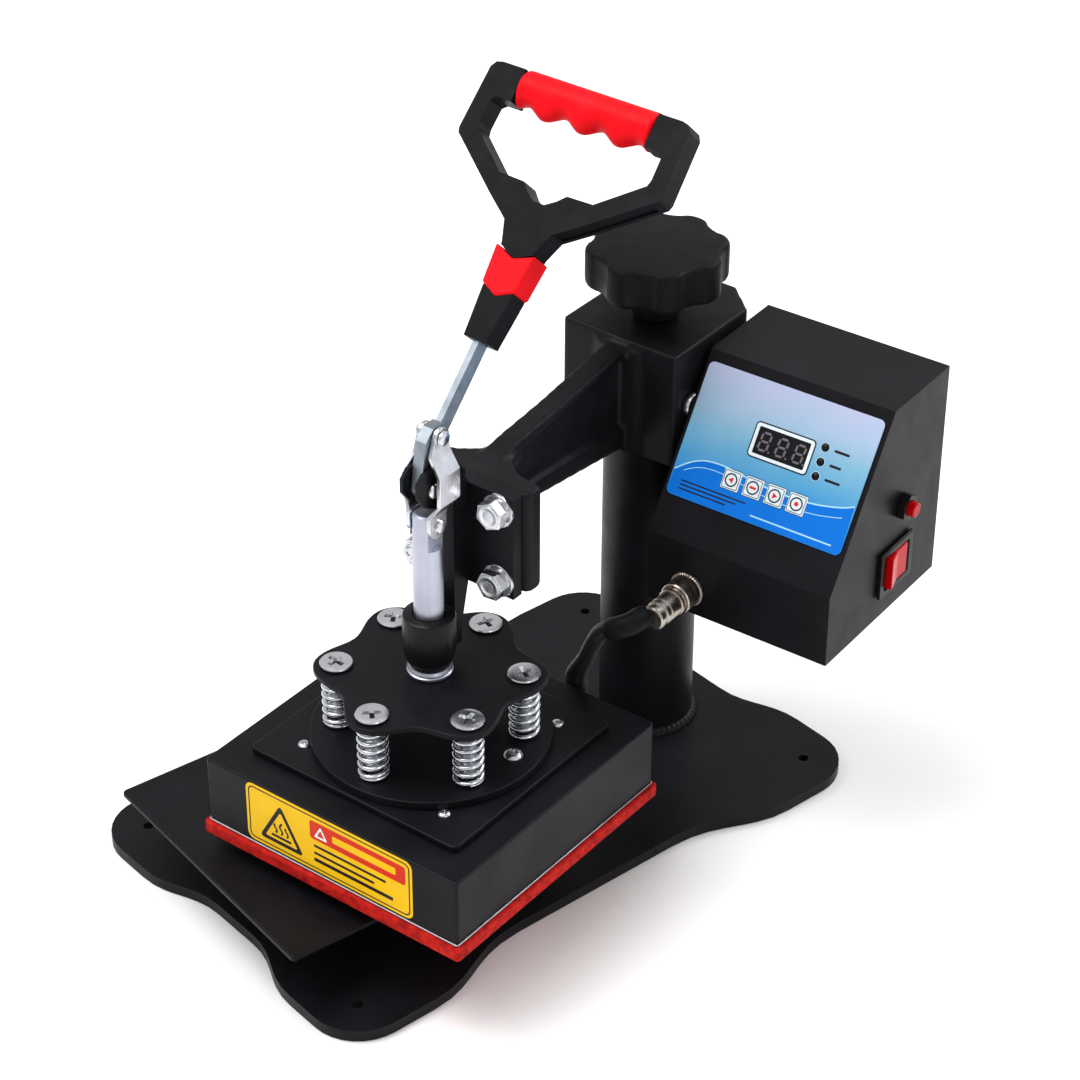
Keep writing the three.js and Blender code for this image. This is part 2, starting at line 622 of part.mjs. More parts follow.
// The folded case: front, sloping panel, top and sides in one; the back cover closes it.
function boxShell() {
  const outer = side(BOX_SIDE, 0, BOX.w);
  const w = BOX.wall;
  const slope = w / Math.cos(PANEL_TILT);
  const innerSide = [
    [w, w],
    [BOX.d + 1, w],
    [BOX.d + 1, BOX.h - w],
    [BOX.setback + w * Math.tan((Math.PI / 2 - PANEL_TILT) / 2), BOX.h - w],
    [w, BOX.kink + slope * 0.3],
  ];
  const hollow = side(innerSide, w, BOX.w - w);
  const openings = [
    ...panelWindows(),
    rod([BOX.w - 3, BREAKER.y, BREAKER.z], [BOX.w + 3, BREAKER.y, BREAKER.z], 5.3, 16),
    block(
      [BOX.w - 3, ROCKER.y - ROCKER.w / 2 + 2, ROCKER.z - ROCKER.h / 2 + 2],
      [BOX.w + 3, ROCKER.y + ROCKER.w / 2 - 2, ROCKER.z + ROCKER.h / 2 - 2],
    ),
    rod([PLUG.x, -3, PLUG.z], [PLUG.x, 3, PLUG.z], 5.8, 16),
  ];
  return cut(outer, hollow, ...openings);
}

// A bar on the mains gland's axis, measured from the box's back.
const glandAxis = (y0, y1, r, sides = 16, rEnd = r) =>
  rod([GLAND.x, BOX.d + y0, GLAND.z], [GLAND.x, BOX.d + y1, GLAND.z], r, sides, rEnd);

const boxBack = () => {
  const inset = BOX.wall + GAP;
  const sheet = block([inset, BOX.d - 1.5, inset], [BOX.w - inset, BOX.d - GAP, BOX.h - inset]);
  return cut(sheet, glandAxis(-5, 5, 6.4));
};

const panelOverlay = () => cut(onPanel([2, 20], [97.5, 86], GAP, 0.9), ...panelWindows());

// The board behind the panel carries the three lamps' stems and the relay.
function circuitBoard() {
  const board = onPanel([14, 24], [88, 74], -10, -8.4);
  const relay = onPanel([20, 30], [42, 46], -25, -9.9);
  const coil = onPanel([55, 28], [80, 50], -30, -9.9);
  return join(board, relay, coil);
}

const display = () => onPanel([DISPLAY.u0, DISPLAY.v0], [DISPLAY.u1, DISPLAY.v1], -8.1, 0.6);

function keyCap(u) {
  const cap = onPanel([u - KEY.half, KEY.v - KEY.half], [u + KEY.half, KEY.v + KEY.half], -1.6, 1.3);
  return join(cap, onPanel([u - 1.6, KEY.v - 1.6], [u + 1.6, KEY.v + 1.6], -6, -1.5));
}

// A bar on the breaker's axis, measured from the box's right side.
const breakerAxis = (x0, x1, r, sides = 16) =>
  rod([BOX.w + x0, BREAKER.y, BREAKER.z], [BOX.w + x1, BREAKER.y, BREAKER.z], r, sides);

function breakerBody() {
  const { y, z } = BREAKER;
  const nut = breakerAxis(GAP, 4.5, 7, 6);
  const barrel = breakerAxis(-24, 2, 5);
  const body = block([BOX.w - 34, y - 8, z - 8], [BOX.w - 12, y + 8, z + 8]);
  return cut(join(nut, barrel, body), breakerAxis(-8, 6, 3.8 + GAP));
}
const breakerButton = () => breakerAxis(-3, 8, 3.8);

function rockerFrame() {
  const { y, z, w, h } = ROCKER;
  // A block set in from the bezel's edges, measured from the box's right side.
  const inset = (x0, x1, dy, dz) =>
    block(
      [BOX.w + x0, y - w / 2 + dy, z - h / 2 + dz],
      [BOX.w + x1, y + w / 2 - dy, z + h / 2 - dz],
    );
  const bezel = inset(GAP, 2.3, 0, 0);
  const body = inset(-24, 1, 2.3, 2.3);
  const well = inset(-9, 6, 4, 3.6);
  return cut(join(bezel, body), well);
}

// Rocks about an axis along Z: its two faces meet at a shallow angle.
function powerRocker() {
  const { y, z, w, h } = ROCKER;
  const x = BOX.w;
  const half = w / 2 - 5.4;
  const zHalf = h / 2 - 4;
  const outline = [
    [x + 5.4, y - half], [x + 2.6, y], [x + 2.4, y + half],
    [x - 1, y + half - 1.5], [x - 5.5, y], [x - 1, y - half + 0.6],
  ];
  return plate(outline, z - zHalf, z + zHalf);
}

// A bar on the lead connector's axis, measured from the box's front.
const plugAxis = (y0, y1, r, sides = 20) =>
  rod([PLUG.x, y0, PLUG.z], [PLUG.x, y1, PLUG.z], r, sides);

const connectorSocket = () =>
  cut(join(plugAxis(-2.6, -GAP, 10, 6), plugAxis(-9, 12, 5.5)), plugAxis(-10, -3, 4.2));

function connectorPlug() {
  const ring = plugAxis(-16, -3, 8.2);
  const neck = plugAxis(-24, -15.5, 6.4);
  const clamp = plugAxis(-32, -23.5, 5.4);
  return cut(join(ring, neck, clamp), plugAxis(-9.3, -2, 5.9));
}

const mainsGland = () =>
  join(glandAxis(-8, 1, 6), glandAxis(0, 5, 9, 6), glandAxis(4.5, 13, 7.5, 16, 5.5));

piece(box, "box_shell", boxShell(), BLACK_PAINT);
piece(box, "box_back", boxBack(), BLACK_PAINT);
piece(box, "panel_overlay", panelOverlay(), BLUE_FILM);
piece(box, "circuit_board", circuitBoard(), GREEN_BOARD);
piece(box, "display", display(), BLACK_PLASTIC);
KEYS.forEach((u, i) => piece(box, `key_${i + 1}`, keyCap(u), BLACK_PLASTIC));
piece(box, "breaker_body", breakerBody(), BLACK_PLASTIC);
piece(box, "breaker_button", breakerButton(), RED_RUBBER);
piece(box, "rocker_frame", rockerFrame(), BLACK_PLASTIC);
piece(box, "power_rocker", powerRocker(), RED_RUBBER);
piece(box, "connector_socket", connectorSocket(), ZINC);
piece(box, "connector_plug", connectorPlug(), ZINC);
piece(box, "mains_gland", mainsGland(), BLACK_PLASTIC);

// Two spacers hold the box on the block's side; the box's turn makes the front one longer.
const SPACER = { z: 212, r: 6 };
function spacer(y) {
  const boxSide = BOX.x - (y - BOX.y - BOX.d / 2) * Math.sin(BOX_TURN);
  const from = [BLOCK.halfW + GAP, y, SPACER.z];
  const to = [boxSide - 2 * GAP, y, SPACER.z];
  return rod(from, to, SPACER.r, 16);
}
piece(arm, "box_spacer_1", spacer(-18), ZINC);
piece(arm, "box_spacer_2", spacer(12), ZINC);

// ---- Lead from the plug to the back of the head, in two lengths that meet above the head ----
const LEAD_MEET = [32, -96.5, 107];
const LEAD_R = 4.6;
const LEAD_UPPER = [
  [59, -89.6, 138.5], [57.5, -97, 138], [52, -101.5, 135.5], [44.5, -101, 130.5], [37.5, -98.5, 119],
  LEAD_MEET,
];
const LEAD_LOWER = [
  [31.7, -96.4, 106.4], [27.5, -95.2, 98.5], [24.5, -93.6, 91], [22.6, -91.2, 84], [22, -92, 78.6],
  [LEAD_END.x, -95.4, LEAD_END.z + 0.3], [LEAD_END.x, -99.3, LEAD_END.z],
];
piece(arm, "lead_upper", tube(LEAD_UPPER, LEAD_R, 10, 20), CABLE);
piece(arm, "lead_lower", tube(LEAD_LOWER, LEAD_R, 10, 16), CABLE);

export default root;
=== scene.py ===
# The looks of a small swing-away heat press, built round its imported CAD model.
# Pieces are drawn in millimetres in local frames and placed by those frames' matrices.
import json
import math

import bmesh
import bpy
from mathutils import Matrix, Vector


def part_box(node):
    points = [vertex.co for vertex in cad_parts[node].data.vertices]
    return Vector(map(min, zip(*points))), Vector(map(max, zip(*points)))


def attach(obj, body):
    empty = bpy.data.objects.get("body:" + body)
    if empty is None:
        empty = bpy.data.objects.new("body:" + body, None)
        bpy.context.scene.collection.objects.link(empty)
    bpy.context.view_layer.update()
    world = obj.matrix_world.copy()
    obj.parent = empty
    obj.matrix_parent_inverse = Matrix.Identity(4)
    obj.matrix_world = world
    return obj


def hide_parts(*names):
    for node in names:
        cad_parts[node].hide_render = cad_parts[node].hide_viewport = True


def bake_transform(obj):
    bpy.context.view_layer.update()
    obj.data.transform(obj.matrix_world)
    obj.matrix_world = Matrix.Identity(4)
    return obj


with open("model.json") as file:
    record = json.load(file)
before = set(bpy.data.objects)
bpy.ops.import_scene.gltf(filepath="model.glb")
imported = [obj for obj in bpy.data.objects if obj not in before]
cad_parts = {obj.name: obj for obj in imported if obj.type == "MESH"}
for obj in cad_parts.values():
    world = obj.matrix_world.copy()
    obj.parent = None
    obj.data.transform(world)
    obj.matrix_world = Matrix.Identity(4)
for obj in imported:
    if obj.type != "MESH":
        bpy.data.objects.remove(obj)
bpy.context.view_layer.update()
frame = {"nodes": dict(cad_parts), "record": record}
RECORD = frame["record"]
NODES = frame["nodes"]
JOINTS = {joint["name"]: joint for joint in RECORD["behaviour"]["joints"]}
SLOT_OF = {part["node"]: part["material_slot"] for part in RECORD["subparts"]}
BODY_OF = {node: body for body, members in RECORD["behaviour"]["bodies"].items() for node in members}

MM = 0.001
TAU = 2 * math.pi

# ------------------------ camera, light and floor
VIEW = {"azimuth": 49.52, "elevation": 33.85, "roll": 0.25}  # degrees
VIEW_DISTANCE = 1.48355
VIEW_TARGET = Vector((0.00928, 0.0305, 0.150))
VIEW_LENS = 102.77


def turned_about(axis, degrees):
    return Matrix.Rotation(math.radians(degrees), 4, axis)


def add_object(name, data):
    made = bpy.data.objects.new(name, data)
    bpy.context.scene.collection.objects.link(made)
    return made


def add_camera():
    camera = add_object("camera", bpy.data.cameras.new("camera"))
    camera.data.lens = VIEW_LENS
    camera.data.sensor_width = 36
    camera.data.clip_end = 20
    aim = turned_about("Z", VIEW["azimuth"]) @ turned_about("X", 90 - VIEW["elevation"])
    spot = VIEW_TARGET + aim @ Vector((0, 0, VIEW_DISTANCE))
    camera.matrix_world = Matrix.Translation(spot) @ aim @ turned_about("Z", VIEW["roll"])
    bpy.context.scene.camera = camera


def add_light(name, spot, target, size, power):
    light = bpy.data.lights.new(name, "AREA")
    light.shape = "RECTANGLE"
    light.size, light.size_y = size
    light.energy = power
    holder = add_object(name, light)
    holder.location = spot
    holder.rotation_euler = (Vector(target) - Vector(spot)).to_track_quat("-Z", "Y").to_euler()


def add_studio():
    world = bpy.data.worlds.new("studio")
    bpy.context.scene.world = world
    world.use_nodes = True
    background = world.node_tree.nodes["Background"]
    background.inputs["Color"].default_value = (1.0, 1.0, 1.0, 1)
    background.inputs["Strength"].default_value = 0.62
    centre = (0, 0, 0.15)
    add_light("key", (-0.55, -0.75, 2.2), centre, (1.5, 1.5), 44)
    add_light("rim", (0.3, 1.7, 1.7), centre, (1.8, 0.8), 26)
    add_light("side", (1.9, -0.3, 0.9), centre, (0.5, 1.3), 4)
    mesh = bpy.data.meshes.new("floor")
    far = 6
    mesh.from_pydata([(-far, -far, 0), (far, -far, 0), (far, far, 0), (-far, far, 0)], [], [(0, 1, 2, 3)])
    floor = add_object("floor", mesh)
    floor.location.z = -0.0004
    mesh.materials.append(new_material("floor_paint", (0.97, 0.97, 0.97), 0.5))


add_camera()
bpy.context.scene.view_settings.view_transform = "Standard"

# ------------------------ local frames
def basis(origin, x, y, z):
    axes = Matrix((x, y, z)).transposed().to_4x4()
    return Matrix.Translation(origin) @ axes


def span(node, local):
    """A node's lowest and highest corners in a local frame."""
    inverse = local.inverted()
    points = [inverse @ v.co for v in NODES[node].data.vertices]
    low = Vector([min(p[i] for p in points) for i in range(3)])
    high = Vector([max(p[i] for p in points) for i in range(3)])
    return low, high


def middle(node, local):
    low, high = span(node, local)
    return (low + high) / 2


def half_width(node, local):
    low, high = span(node, local)
    return (high.x - low.x) / 2


def moved(local, x, y, z):
    return local @ Matrix.Translation((x, y, z))


SCALE = Matrix.Scale(MM, 4)
UP = Vector((0, 0, 1))
WORLD = SCALE
column_axis = Vector(JOINTS["arm_swing"]["pos_m"])
ARM_X = Vector(JOINTS["handle_swing"]["axis"]).normalized()
ARM = basis(Vector((column_axis.x, column_axis.y, 0)), ARM_X, UP.cross(ARM_X), UP) @ SCALE
BOX_X = -Vector(JOINTS["breaker_press"]["axis"]).normalized()
box_turned = basis(Vector((0, 0, 0)), BOX_X, UP.cross(BOX_X), UP) @ SCALE
BOX = box_turned @ Matrix.Translation(span("box_shell", box_turned)[0])
BOX_W, BOX_D, BOX_H = span("box_shell", BOX)[1]
PANEL_N = -Vector(JOINTS["key_1_press"]["axis"]).normalized()
panel_turned = basis(Vector((0, 0, 0)), BOX_X, PANEL_N.cross(BOX_X), PANEL_N) @ SCALE
film_low, film_high = span("panel_overlay", panel_turned)
PANEL = panel_turned @ Matrix.Translation(film_low)  # origin: the film's lower left corner
FILM_W, FILM_H, FILM_T = film_high - film_low
LINK_TOP = ARM.inverted() @ Vector(JOINTS["link_swing"]["pos_m"])
LINK_LOW = middle("plunger_pin", ARM)
PLUNGER_Y = middle("plunger", ARM).y
PLUNGER = moved(ARM, 0, PLUNGER_Y, 0)
FACE_ON = Matrix.Rotation(math.pi / 2, 4, "X")  # draws (x, y) as (x, z)
SIDEWAYS = Matrix(((0, 0, 1), (1, 0, 0), (0, 1, 0))).to_4x4()  # draws (x, y) as (y, z)

# The handle's frame: the bar along +Z, the grip along X.
HANDLE_TILT = math.radians(46)
tilted = ARM @ Matrix.Rotation(HANDLE_TILT - math.pi / 2, 4, "X")
COLLAR_FOOT = 68.3  # from the handle frame's origin up the bar to the collar
HANDLE = moved(tilted, 0, middle("handle_collar", tilted).y, span("handle_collar", tilted)[0].z - COLLAR_FOOT)
HANDLE_FLAT = HANDLE @ FACE_ON


# ------------------------ materials
def new_material(name, color, roughness, metallic=0.0, sheen=0.0, specular=0.5):
    material = bpy.data.materials.new(name)
    material.use_nodes = True
    shader = material.node_tree.nodes["Principled BSDF"]
    set_inputs(shader, {
        "Base Color": (*color, 1), "Roughness": roughness, "Metallic": metallic,
        "Sheen Weight": sheen, "Specular IOR Level": specular,
    })
    return material


def set_inputs(shader, values):
    for name, value in values.items():
        shader.inputs[name].default_value = value


def node(material, kind, **settings):
    made = material.node_tree.nodes.new(kind)
    for key, value in settings.items():
        if key in made.inputs:
            made.inputs[key].default_value = value
        else:
            setattr(made, key, value)
    return made


def wire(material, source, target):
    material.node_tree.links.new(source, target)


def place(material, stretch=(1, 1, 1)):
    """Object coordinates, in metres, stretched along each axis."""
    coordinates = node(material, "ShaderNodeTexCoord")
    mapping = node(material, "ShaderNodeMapping")
    mapping.inputs["Scale"].default_value = stretch
    wire(material, coordinates.outputs["Object"], mapping.inputs["Vector"])
    return mapping.outputs["Vector"]


def noise(material, scale, detail=2.0, stretch=(1, 1, 1)):
    made = node(material, "ShaderNodeTexNoise", Scale=scale, Detail=detail)
    wire(material, place(material, stretch), made.inputs["Vector"])
    return made.outputs[0]


def spread(material, source, low, high, from_low=0.3, from_high=0.7):
    """Maps from_low..from_high, at first the middle of a noise, to low..high."""
    made = node(material, "ShaderNodeMapRange")
    set_inputs(made, {"From Min": from_low, "From Max": from_high, "To Min": low, "To Max": high})
    wire(material, source, made.inputs["Value"])
    return made.outputs["Result"]


def socket(material, name):
    return material.node_tree.nodes["Principled BSDF"].inputs[name]


def vary_roughness(material, source, low, high):
    wire(material, spread(material, source, low, high), socket(material, "Roughness"))


def vary_color(material, source, dark, light):
    mix = node(material, "ShaderNodeMix", data_type="RGBA")
    ends = [each for each in mix.inputs if each.type == "RGBA"]
    ends[0].default_value = (*dark, 1)
    ends[1].default_value = (*light, 1)
    wire(material, spread(material, source, 0, 1), mix.inputs["Factor"])
    result = [each for each in mix.outputs if each.type == "RGBA"][0]
    wire(material, result, socket(material, "Base Color"))


def bumps(material, *layers):
    """Each layer is (height source, strength, distance in metres)."""
    previous = None
    for source, strength, distance in layers:
        bump = node(material, "ShaderNodeBump", Strength=strength, Distance=distance)
        wire(material, source, bump.inputs["Height"])
        if previous:
            wire(material, previous, bump.inputs["Normal"])
        previous = bump.outputs["Normal"]
    wire(material, previous, socket(material, "Normal"))


def varied(name, color, roughness, tone, shine, grain, **looks):
    """A material whose tone, shine and surface vary.

    tone is (noise, dark, light), shine is (noise, low, high) and each grain is (noise, strength, distance),
    where a noise is (scale, detail, stretch).
    """
    m = new_material(name, color, roughness, **looks)
    vary_color(m, noise(m, *tone[0]), *tone[1:])
    vary_roughness(m, noise(m, *shine[0]), *shine[1:])
    bumps(m, *[(noise(m, *texture), strength, distance) for texture, strength, distance in grain])
    return m


def powder_coat():
    return varied(
        "black_powder_coat", (0.006, 0.006, 0.0075), 0.42, specular=0.12,
        tone=((35,), (0.0045, 0.0045, 0.0060), (0.0075, 0.0072, 0.0100)),
        shine=((60, 3), 0.36, 0.46),
        grain=[((900, 1), 0.05, 0.0002), ((2600, 1), 0.05, 0.0001)],
    )


def cast_paint():
    return varied(
        "cast_black_paint", (0.006, 0.006, 0.007), 0.42, specular=0.12,
        tone=((50,), (0.0045, 0.0045, 0.0055), (0.0095, 0.009, 0.0115)),
        shine=((120, 3), 0.38, 0.5),
        grain=[((260, 2), 0.12, 0.0005), ((1400, 1), 0.1, 0.0002)],
    )


def zinc_plate():
    return varied(
        "bright_zinc", (0.74, 0.75, 0.78), 0.26, metallic=1.0,
        tone=((90, 2), (0.58, 0.59, 0.63), (0.74, 0.74, 0.76)),
        shine=((160, 2), 0.22, 0.32),
        grain=[((900, 1), 0.03, 0.0001)],
    )


def lever_steel():
    return varied(
        "lever_steel", (0.30, 0.34, 0.38), 0.44, metallic=1.0,
        tone=((120, 2), (0.25, 0.29, 0.33), (0.36, 0.40, 0.44)),
        shine=((200, 2, (1, 8, 1)), 0.38, 0.5),
        grain=[((700, 2, (12, 1, 1)), 0.04, 0.0001)],
    )


def satin_chrome():
    return varied(
        "satin_chrome", (0.46, 0.48, 0.56), 0.4, metallic=1.0,
        tone=((60, 2), (0.42, 0.44, 0.53), (0.50, 0.52, 0.60)),
        shine=((200, 2, (1, 1, 0.05)), 0.34, 0.44),
        grain=[((1500, 1, (1, 1, 0.04)), 0.03, 0.0001)],
    )


def brassy_nickel():
    return varied(
        "brassy_nickel", (0.42, 0.37, 0.31), 0.26, metallic=1.0,
        tone=((150, 2), (0.34, 0.29, 0.24), (0.50, 0.46, 0.40)),
        shine=((260, 2), 0.2, 0.34),
        grain=[((900, 1), 0.03, 0.0001)],
    )


def spring_steel():
    return varied(
        "spring_steel", (0.72, 0.74, 0.78), 0.16, metallic=1.0,
        tone=((120, 1), (0.66, 0.68, 0.73), (0.78, 0.80, 0.84)),
        shine=((300, 1), 0.12, 0.2),
        grain=[((1200, 1), 0.02, 0.0001)],
    )


def raw_aluminium():
    return varied(
        "raw_aluminium", (0.34, 0.35, 0.37), 0.4, metallic=1.0,
        tone=((120, 2), (0.30, 0.31, 0.33), (0.38, 0.39, 0.41)),
        shine=((300, 3, (1, 1, 12)), 0.34, 0.5),
        grain=[((900, 2, (1, 1, 20)), 0.12, 0.0001)],
    )


def black_plastic():
    return varied(
        "moulded_black", (0.006, 0.006, 0.007), 0.44, specular=0.08,
        tone=((240, 3), (0.005, 0.005, 0.006), (0.0075, 0.0072, 0.0085)),
        shine=((90, 2), 0.42, 0.54),
        grain=[((1600, 1), 0.1, 0.0002)],
    )


def glossy_black():
    return varied(
        "gloss_black", (0.005, 0.005, 0.006), 0.3, specular=0.16,
        tone=((40,), (0.0045, 0.0045, 0.005), (0.008, 0.008, 0.009)),
        shine=((120, 2), 0.26, 0.36),
        grain=[((900, 1), 0.02, 0.0001)],
    )


def red_rubber():
    return varied(
        "red_rubber", (0.80, 0.002, 0.008), 0.5, specular=0.10,
        tone=((60, 2), (0.70, 0.001, 0.006), (0.88, 0.003, 0.010)),
        shine=((140, 2), 0.44, 0.56),
        grain=[((1100, 1), 0.08, 0.0002)],
    )


def red_switch():
    return varied(
        "red_switch_plastic", (0.50, 0.001, 0.003), 0.2, specular=0.1,
        tone=((50, 2), (0.42, 0.001, 0.002), (0.58, 0.001, 0.004)),
        shine=((200, 2), 0.16, 0.26),
        grain=[((900, 1), 0.02, 0.0001)],
    )


def silicone_sponge():
    m = new_material("silicone_sponge", (0.50, 0.008, 0.005), 0.78, specular=0.15)
    vary_color(m, noise(m, 260, 5), (0.28, 0.004, 0.003), (0.62, 0.014, 0.008))
    vary_roughness(m, noise(m, 300, 3), 0.65, 0.9)
    cells = node(m, "ShaderNodeTexVoronoi", Scale=900.0)
    wire(m, place(m), cells.inputs["Vector"])
    bumps(m, (cells.outputs["Distance"], 0.4, 0.0005), (noise(m, 500, 4), 0.4, 0.0004))
    return m


def printed_film():
    """Lavender at the top, aqua across the middle, strong blue at the bottom."""
    m = new_material("printed_film", (0.1, 0.35, 0.8), 0.34, specular=0.12)
    low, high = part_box("panel_overlay")
    coordinates = node(m, "ShaderNodeTexCoord")
    split = node(m, "ShaderNodeSeparateXYZ")
    wire(m, coordinates.outputs["Object"], split.inputs["Vector"])
    total = node(m, "ShaderNodeMath", operation="ADD")
    wire(m, spread(m, split.outputs["Z"], 0, 1, low[2], high[2]), total.inputs[0])
    wire(m, spread(m, noise(m, 40, 2), -0.05, 0.05), total.inputs[1])
    ramp = node(m, "ShaderNodeValToRGB")
    stops = [
        (0.0, (0.01, 0.22, 0.70)), (0.25, (0.05, 0.30, 0.64)), (0.42, (0.12, 0.38, 0.62)),
        (0.60, (0.22, 0.46, 0.64)), (0.80, (0.38, 0.52, 0.70)), (1.0, (0.48, 0.53, 0.74)),
    ]
    while len(ramp.color_ramp.elements) < len(stops):
        ramp.color_ramp.elements.new(0.5)
    for element, (position, color) in zip(ramp.color_ramp.elements, stops):
        element.position = position
        element.color = (*color, 1)
    wire(m, total.outputs[0], ramp.inputs["Fac"])
    wire(m, ramp.outputs["Color"], socket(m, "Base Color"))
    vary_roughness(m, noise(m, 900, 2), 0.26, 0.38)
    bumps(m, (noise(m, 2500, 1), 0.06, 0.0001))
    return m


def ink(name, color):
    dark = tuple(c * 0.95 for c in color)
    light = tuple(min(1, c * 1.04) for c in color)
    return varied(
        name, color, 0.4, specular=0.15,
        tone=((60, 1), dark, light),
        shine=((300, 1), 0.35, 0.45),
        grain=[((2000, 1), 0.02, 0.0001)],
    )


def braided_sleeve():
    m = new_material("braided_sleeve", (0.012, 0.012, 0.013), 0.5)
    weave = node(m, "ShaderNodeTexWave", Scale=420.0, Distortion=2.0)
    wire(m, place(m, (1, 0.6, 1.3)), weave.inputs["Vector"])
    vary_color(m, weave.outputs["Fac"], (0.008, 0.008, 0.009), (0.022, 0.022, 0.024))
    vary_roughness(m, noise(m, 300, 2), 0.4, 0.6)
    bumps(m, (weave.outputs["Fac"], 0.5, 0.0003), (noise(m, 1200, 2), 0.2, 0.0002))
    return m


def mineral_wool():
    m = new_material("mineral_wool", (0.72, 0.68, 0.56), 0.95, sheen=0.2)
    vary_color(m, noise(m, 400, 5), (0.60, 0.56, 0.44), (0.80, 0.77, 0.66))
    bumps(m, (noise(m, 900, 5), 0.7, 0.001))
    return m


def board_green():
    m = new_material("board_green", (0.012, 0.13, 0.05), 0.4)
    vary_color(m, noise(m, 300, 3), (0.008, 0.09, 0.035), (0.02, 0.17, 0.07))
    bumps(m, (noise(m, 800, 2), 0.1, 0.0001))
    return m


PAINT = powder_coat()
CAST = cast_paint()
ZINC = zinc_plate()
LEVER = lever_steel()
CHROME = satin_chrome()
NICKEL = brassy_nickel()
SPRING = spring_steel()
ALUMINIUM = raw_aluminium()
PLASTIC = black_plastic()
GLOSS = glossy_black()
RUBBER = red_rubber()
SWITCH = red_switch()
SILICONE = silicone_sponge()
FILM = printed_film()
SLEEVE = braided_sleeve()
WOOL = mineral_wool()
BOARD = board_green()
YELLOW = ink("label_yellow", (0.90, 0.53, 0.006))
LABEL_RED = ink("label_red", (0.66, 0.03, 0.01))
BLACK_INK = ink("black_ink", (0.012, 0.012, 0.014))
WHITE_INK = ink("white_ink", (0.80, 0.88, 0.94))
DEEP_BLUE = ink("deep_blue_ink", (0.0, 0.165, 0.68))
PALE_INK = ink("pale_blue_ink", (0.42, 0.74, 0.90))
KEY_WHITE = ink("key_white", (0.72, 0.82, 0.88))
DIGIT_GREY = ink("unlit_digit", (0.16, 0.15, 0.18))


# ------------------------ meshes
def finish_mesh(name, bm, local, material, bevel=0.0, segments=3, smooth=35):
    """Turns a bmesh in local millimetres into an object in the shared frame."""
    bmesh.ops.recalc_face_normals(bm, faces=bm.faces[:])
    mesh = bpy.data.meshes.new(name)
    bm.to_mesh(mesh)
    bm.free()
    mesh.transform(local)
    if local.determinant() < 0:
        mesh.flip_normals()
    mesh.materials.append(material)
    mesh.shade_smooth()
    mesh.set_sharp_from_angle(angle=math.radians(smooth))
    made = add_object(name, mesh)
    if bevel:
        add_bevel(made, bevel, segments)
    return made


def add_bevel(made, width, segments=3):
    modifier = made.modifiers.new("edges", "BEVEL")
    modifier.width = width * MM
    modifier.segments = segments
    modifier.limit_method = "ANGLE"
    modifier.angle_limit = math.radians(30)
    modifier.miter_outer = "MITER_ARC"
    normals = made.modifiers.new("normals", "WEIGHTED_NORMAL")
    normals.keep_sharp = True
    normals.weight = 100
    return made


def settle(made):
    """Applies a piece's modifiers."""
    graph = bpy.context.evaluated_depsgraph_get()
    mesh = bpy.data.meshes.new_from_object(made.evaluated_get(graph))
    old = made.data
    made.modifiers.clear()
    made.data = mesh
    bpy.data.meshes.remove(old)
    return made


def fix(made, body, slot, *nodes):
    """A piece rides on a body and stands for some CAD nodes; its slot is not used."""
    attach(made, body)
    if nodes:
        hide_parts(*nodes)
    return made


def stand_in(made, *nodes):
    """A piece that replaces CAD nodes of one body; their slot is looked up but not used."""
    return fix(made, BODY_OF[nodes[0]], SLOT_OF[nodes[0]], *nodes)


def copy_of(name, whole_faces=True):
    """A clean bmesh of a CAD node; whole_faces joins its triangles into flat faces again."""
    bm = bmesh.new()
    bm.from_mesh(NODES[name].data)
    bmesh.ops.remove_doubles(bm, verts=bm.verts[:], dist=1e-6)
    if whole_faces:
        bmesh.ops.dissolve_limit(bm, angle_limit=math.radians(0.6), verts=bm.verts[:], edges=bm.edges[:])
    return bm


def refined(name, material, bevel, segments=3):
    """The CAD node's own shape with rounded edges."""
    made = finish_mesh(name + "_fine", copy_of(name), Matrix.Identity(4), material, bevel, segments)
    return stand_in(made, name)


def cast(name, local, material, voxel, passes):
    """The CAD node's shape with every edge and corner rounded off, as a sand casting's are."""
    turn = local.to_quaternion().to_matrix().to_4x4()
    made = finish_mesh(name + "_fine", copy_of(name), Matrix.Identity(4), material)
    made.data.transform(turn.inverted())
    grid = made.modifiers.new("grid", "REMESH")
    grid.mode = "VOXEL"
    grid.voxel_size = voxel * MM
    soften = made.modifiers.new("soften", "SMOOTH")
    soften.factor = 0.5
    soften.iterations = passes
    made.modifiers.new("thin_out", "DECIMATE").ratio = 0.3
    settle(made)
    made.data.transform(turn)
    made.data.shade_smooth()
    return stand_in(made, name)


def skin(bm, rings):
    """Quads between neighbouring rings of vertices, with a face over each end."""
    for below, above in zip(rings, rings[1:]):
        for i in range(len(below)):
            j = (i + 1) % len(below)
            bm.faces.new((below[i], below[j], above[j], above[i]))
    bm.faces.new(rings[0][::-1])
    bm.faces.new(rings[-1])


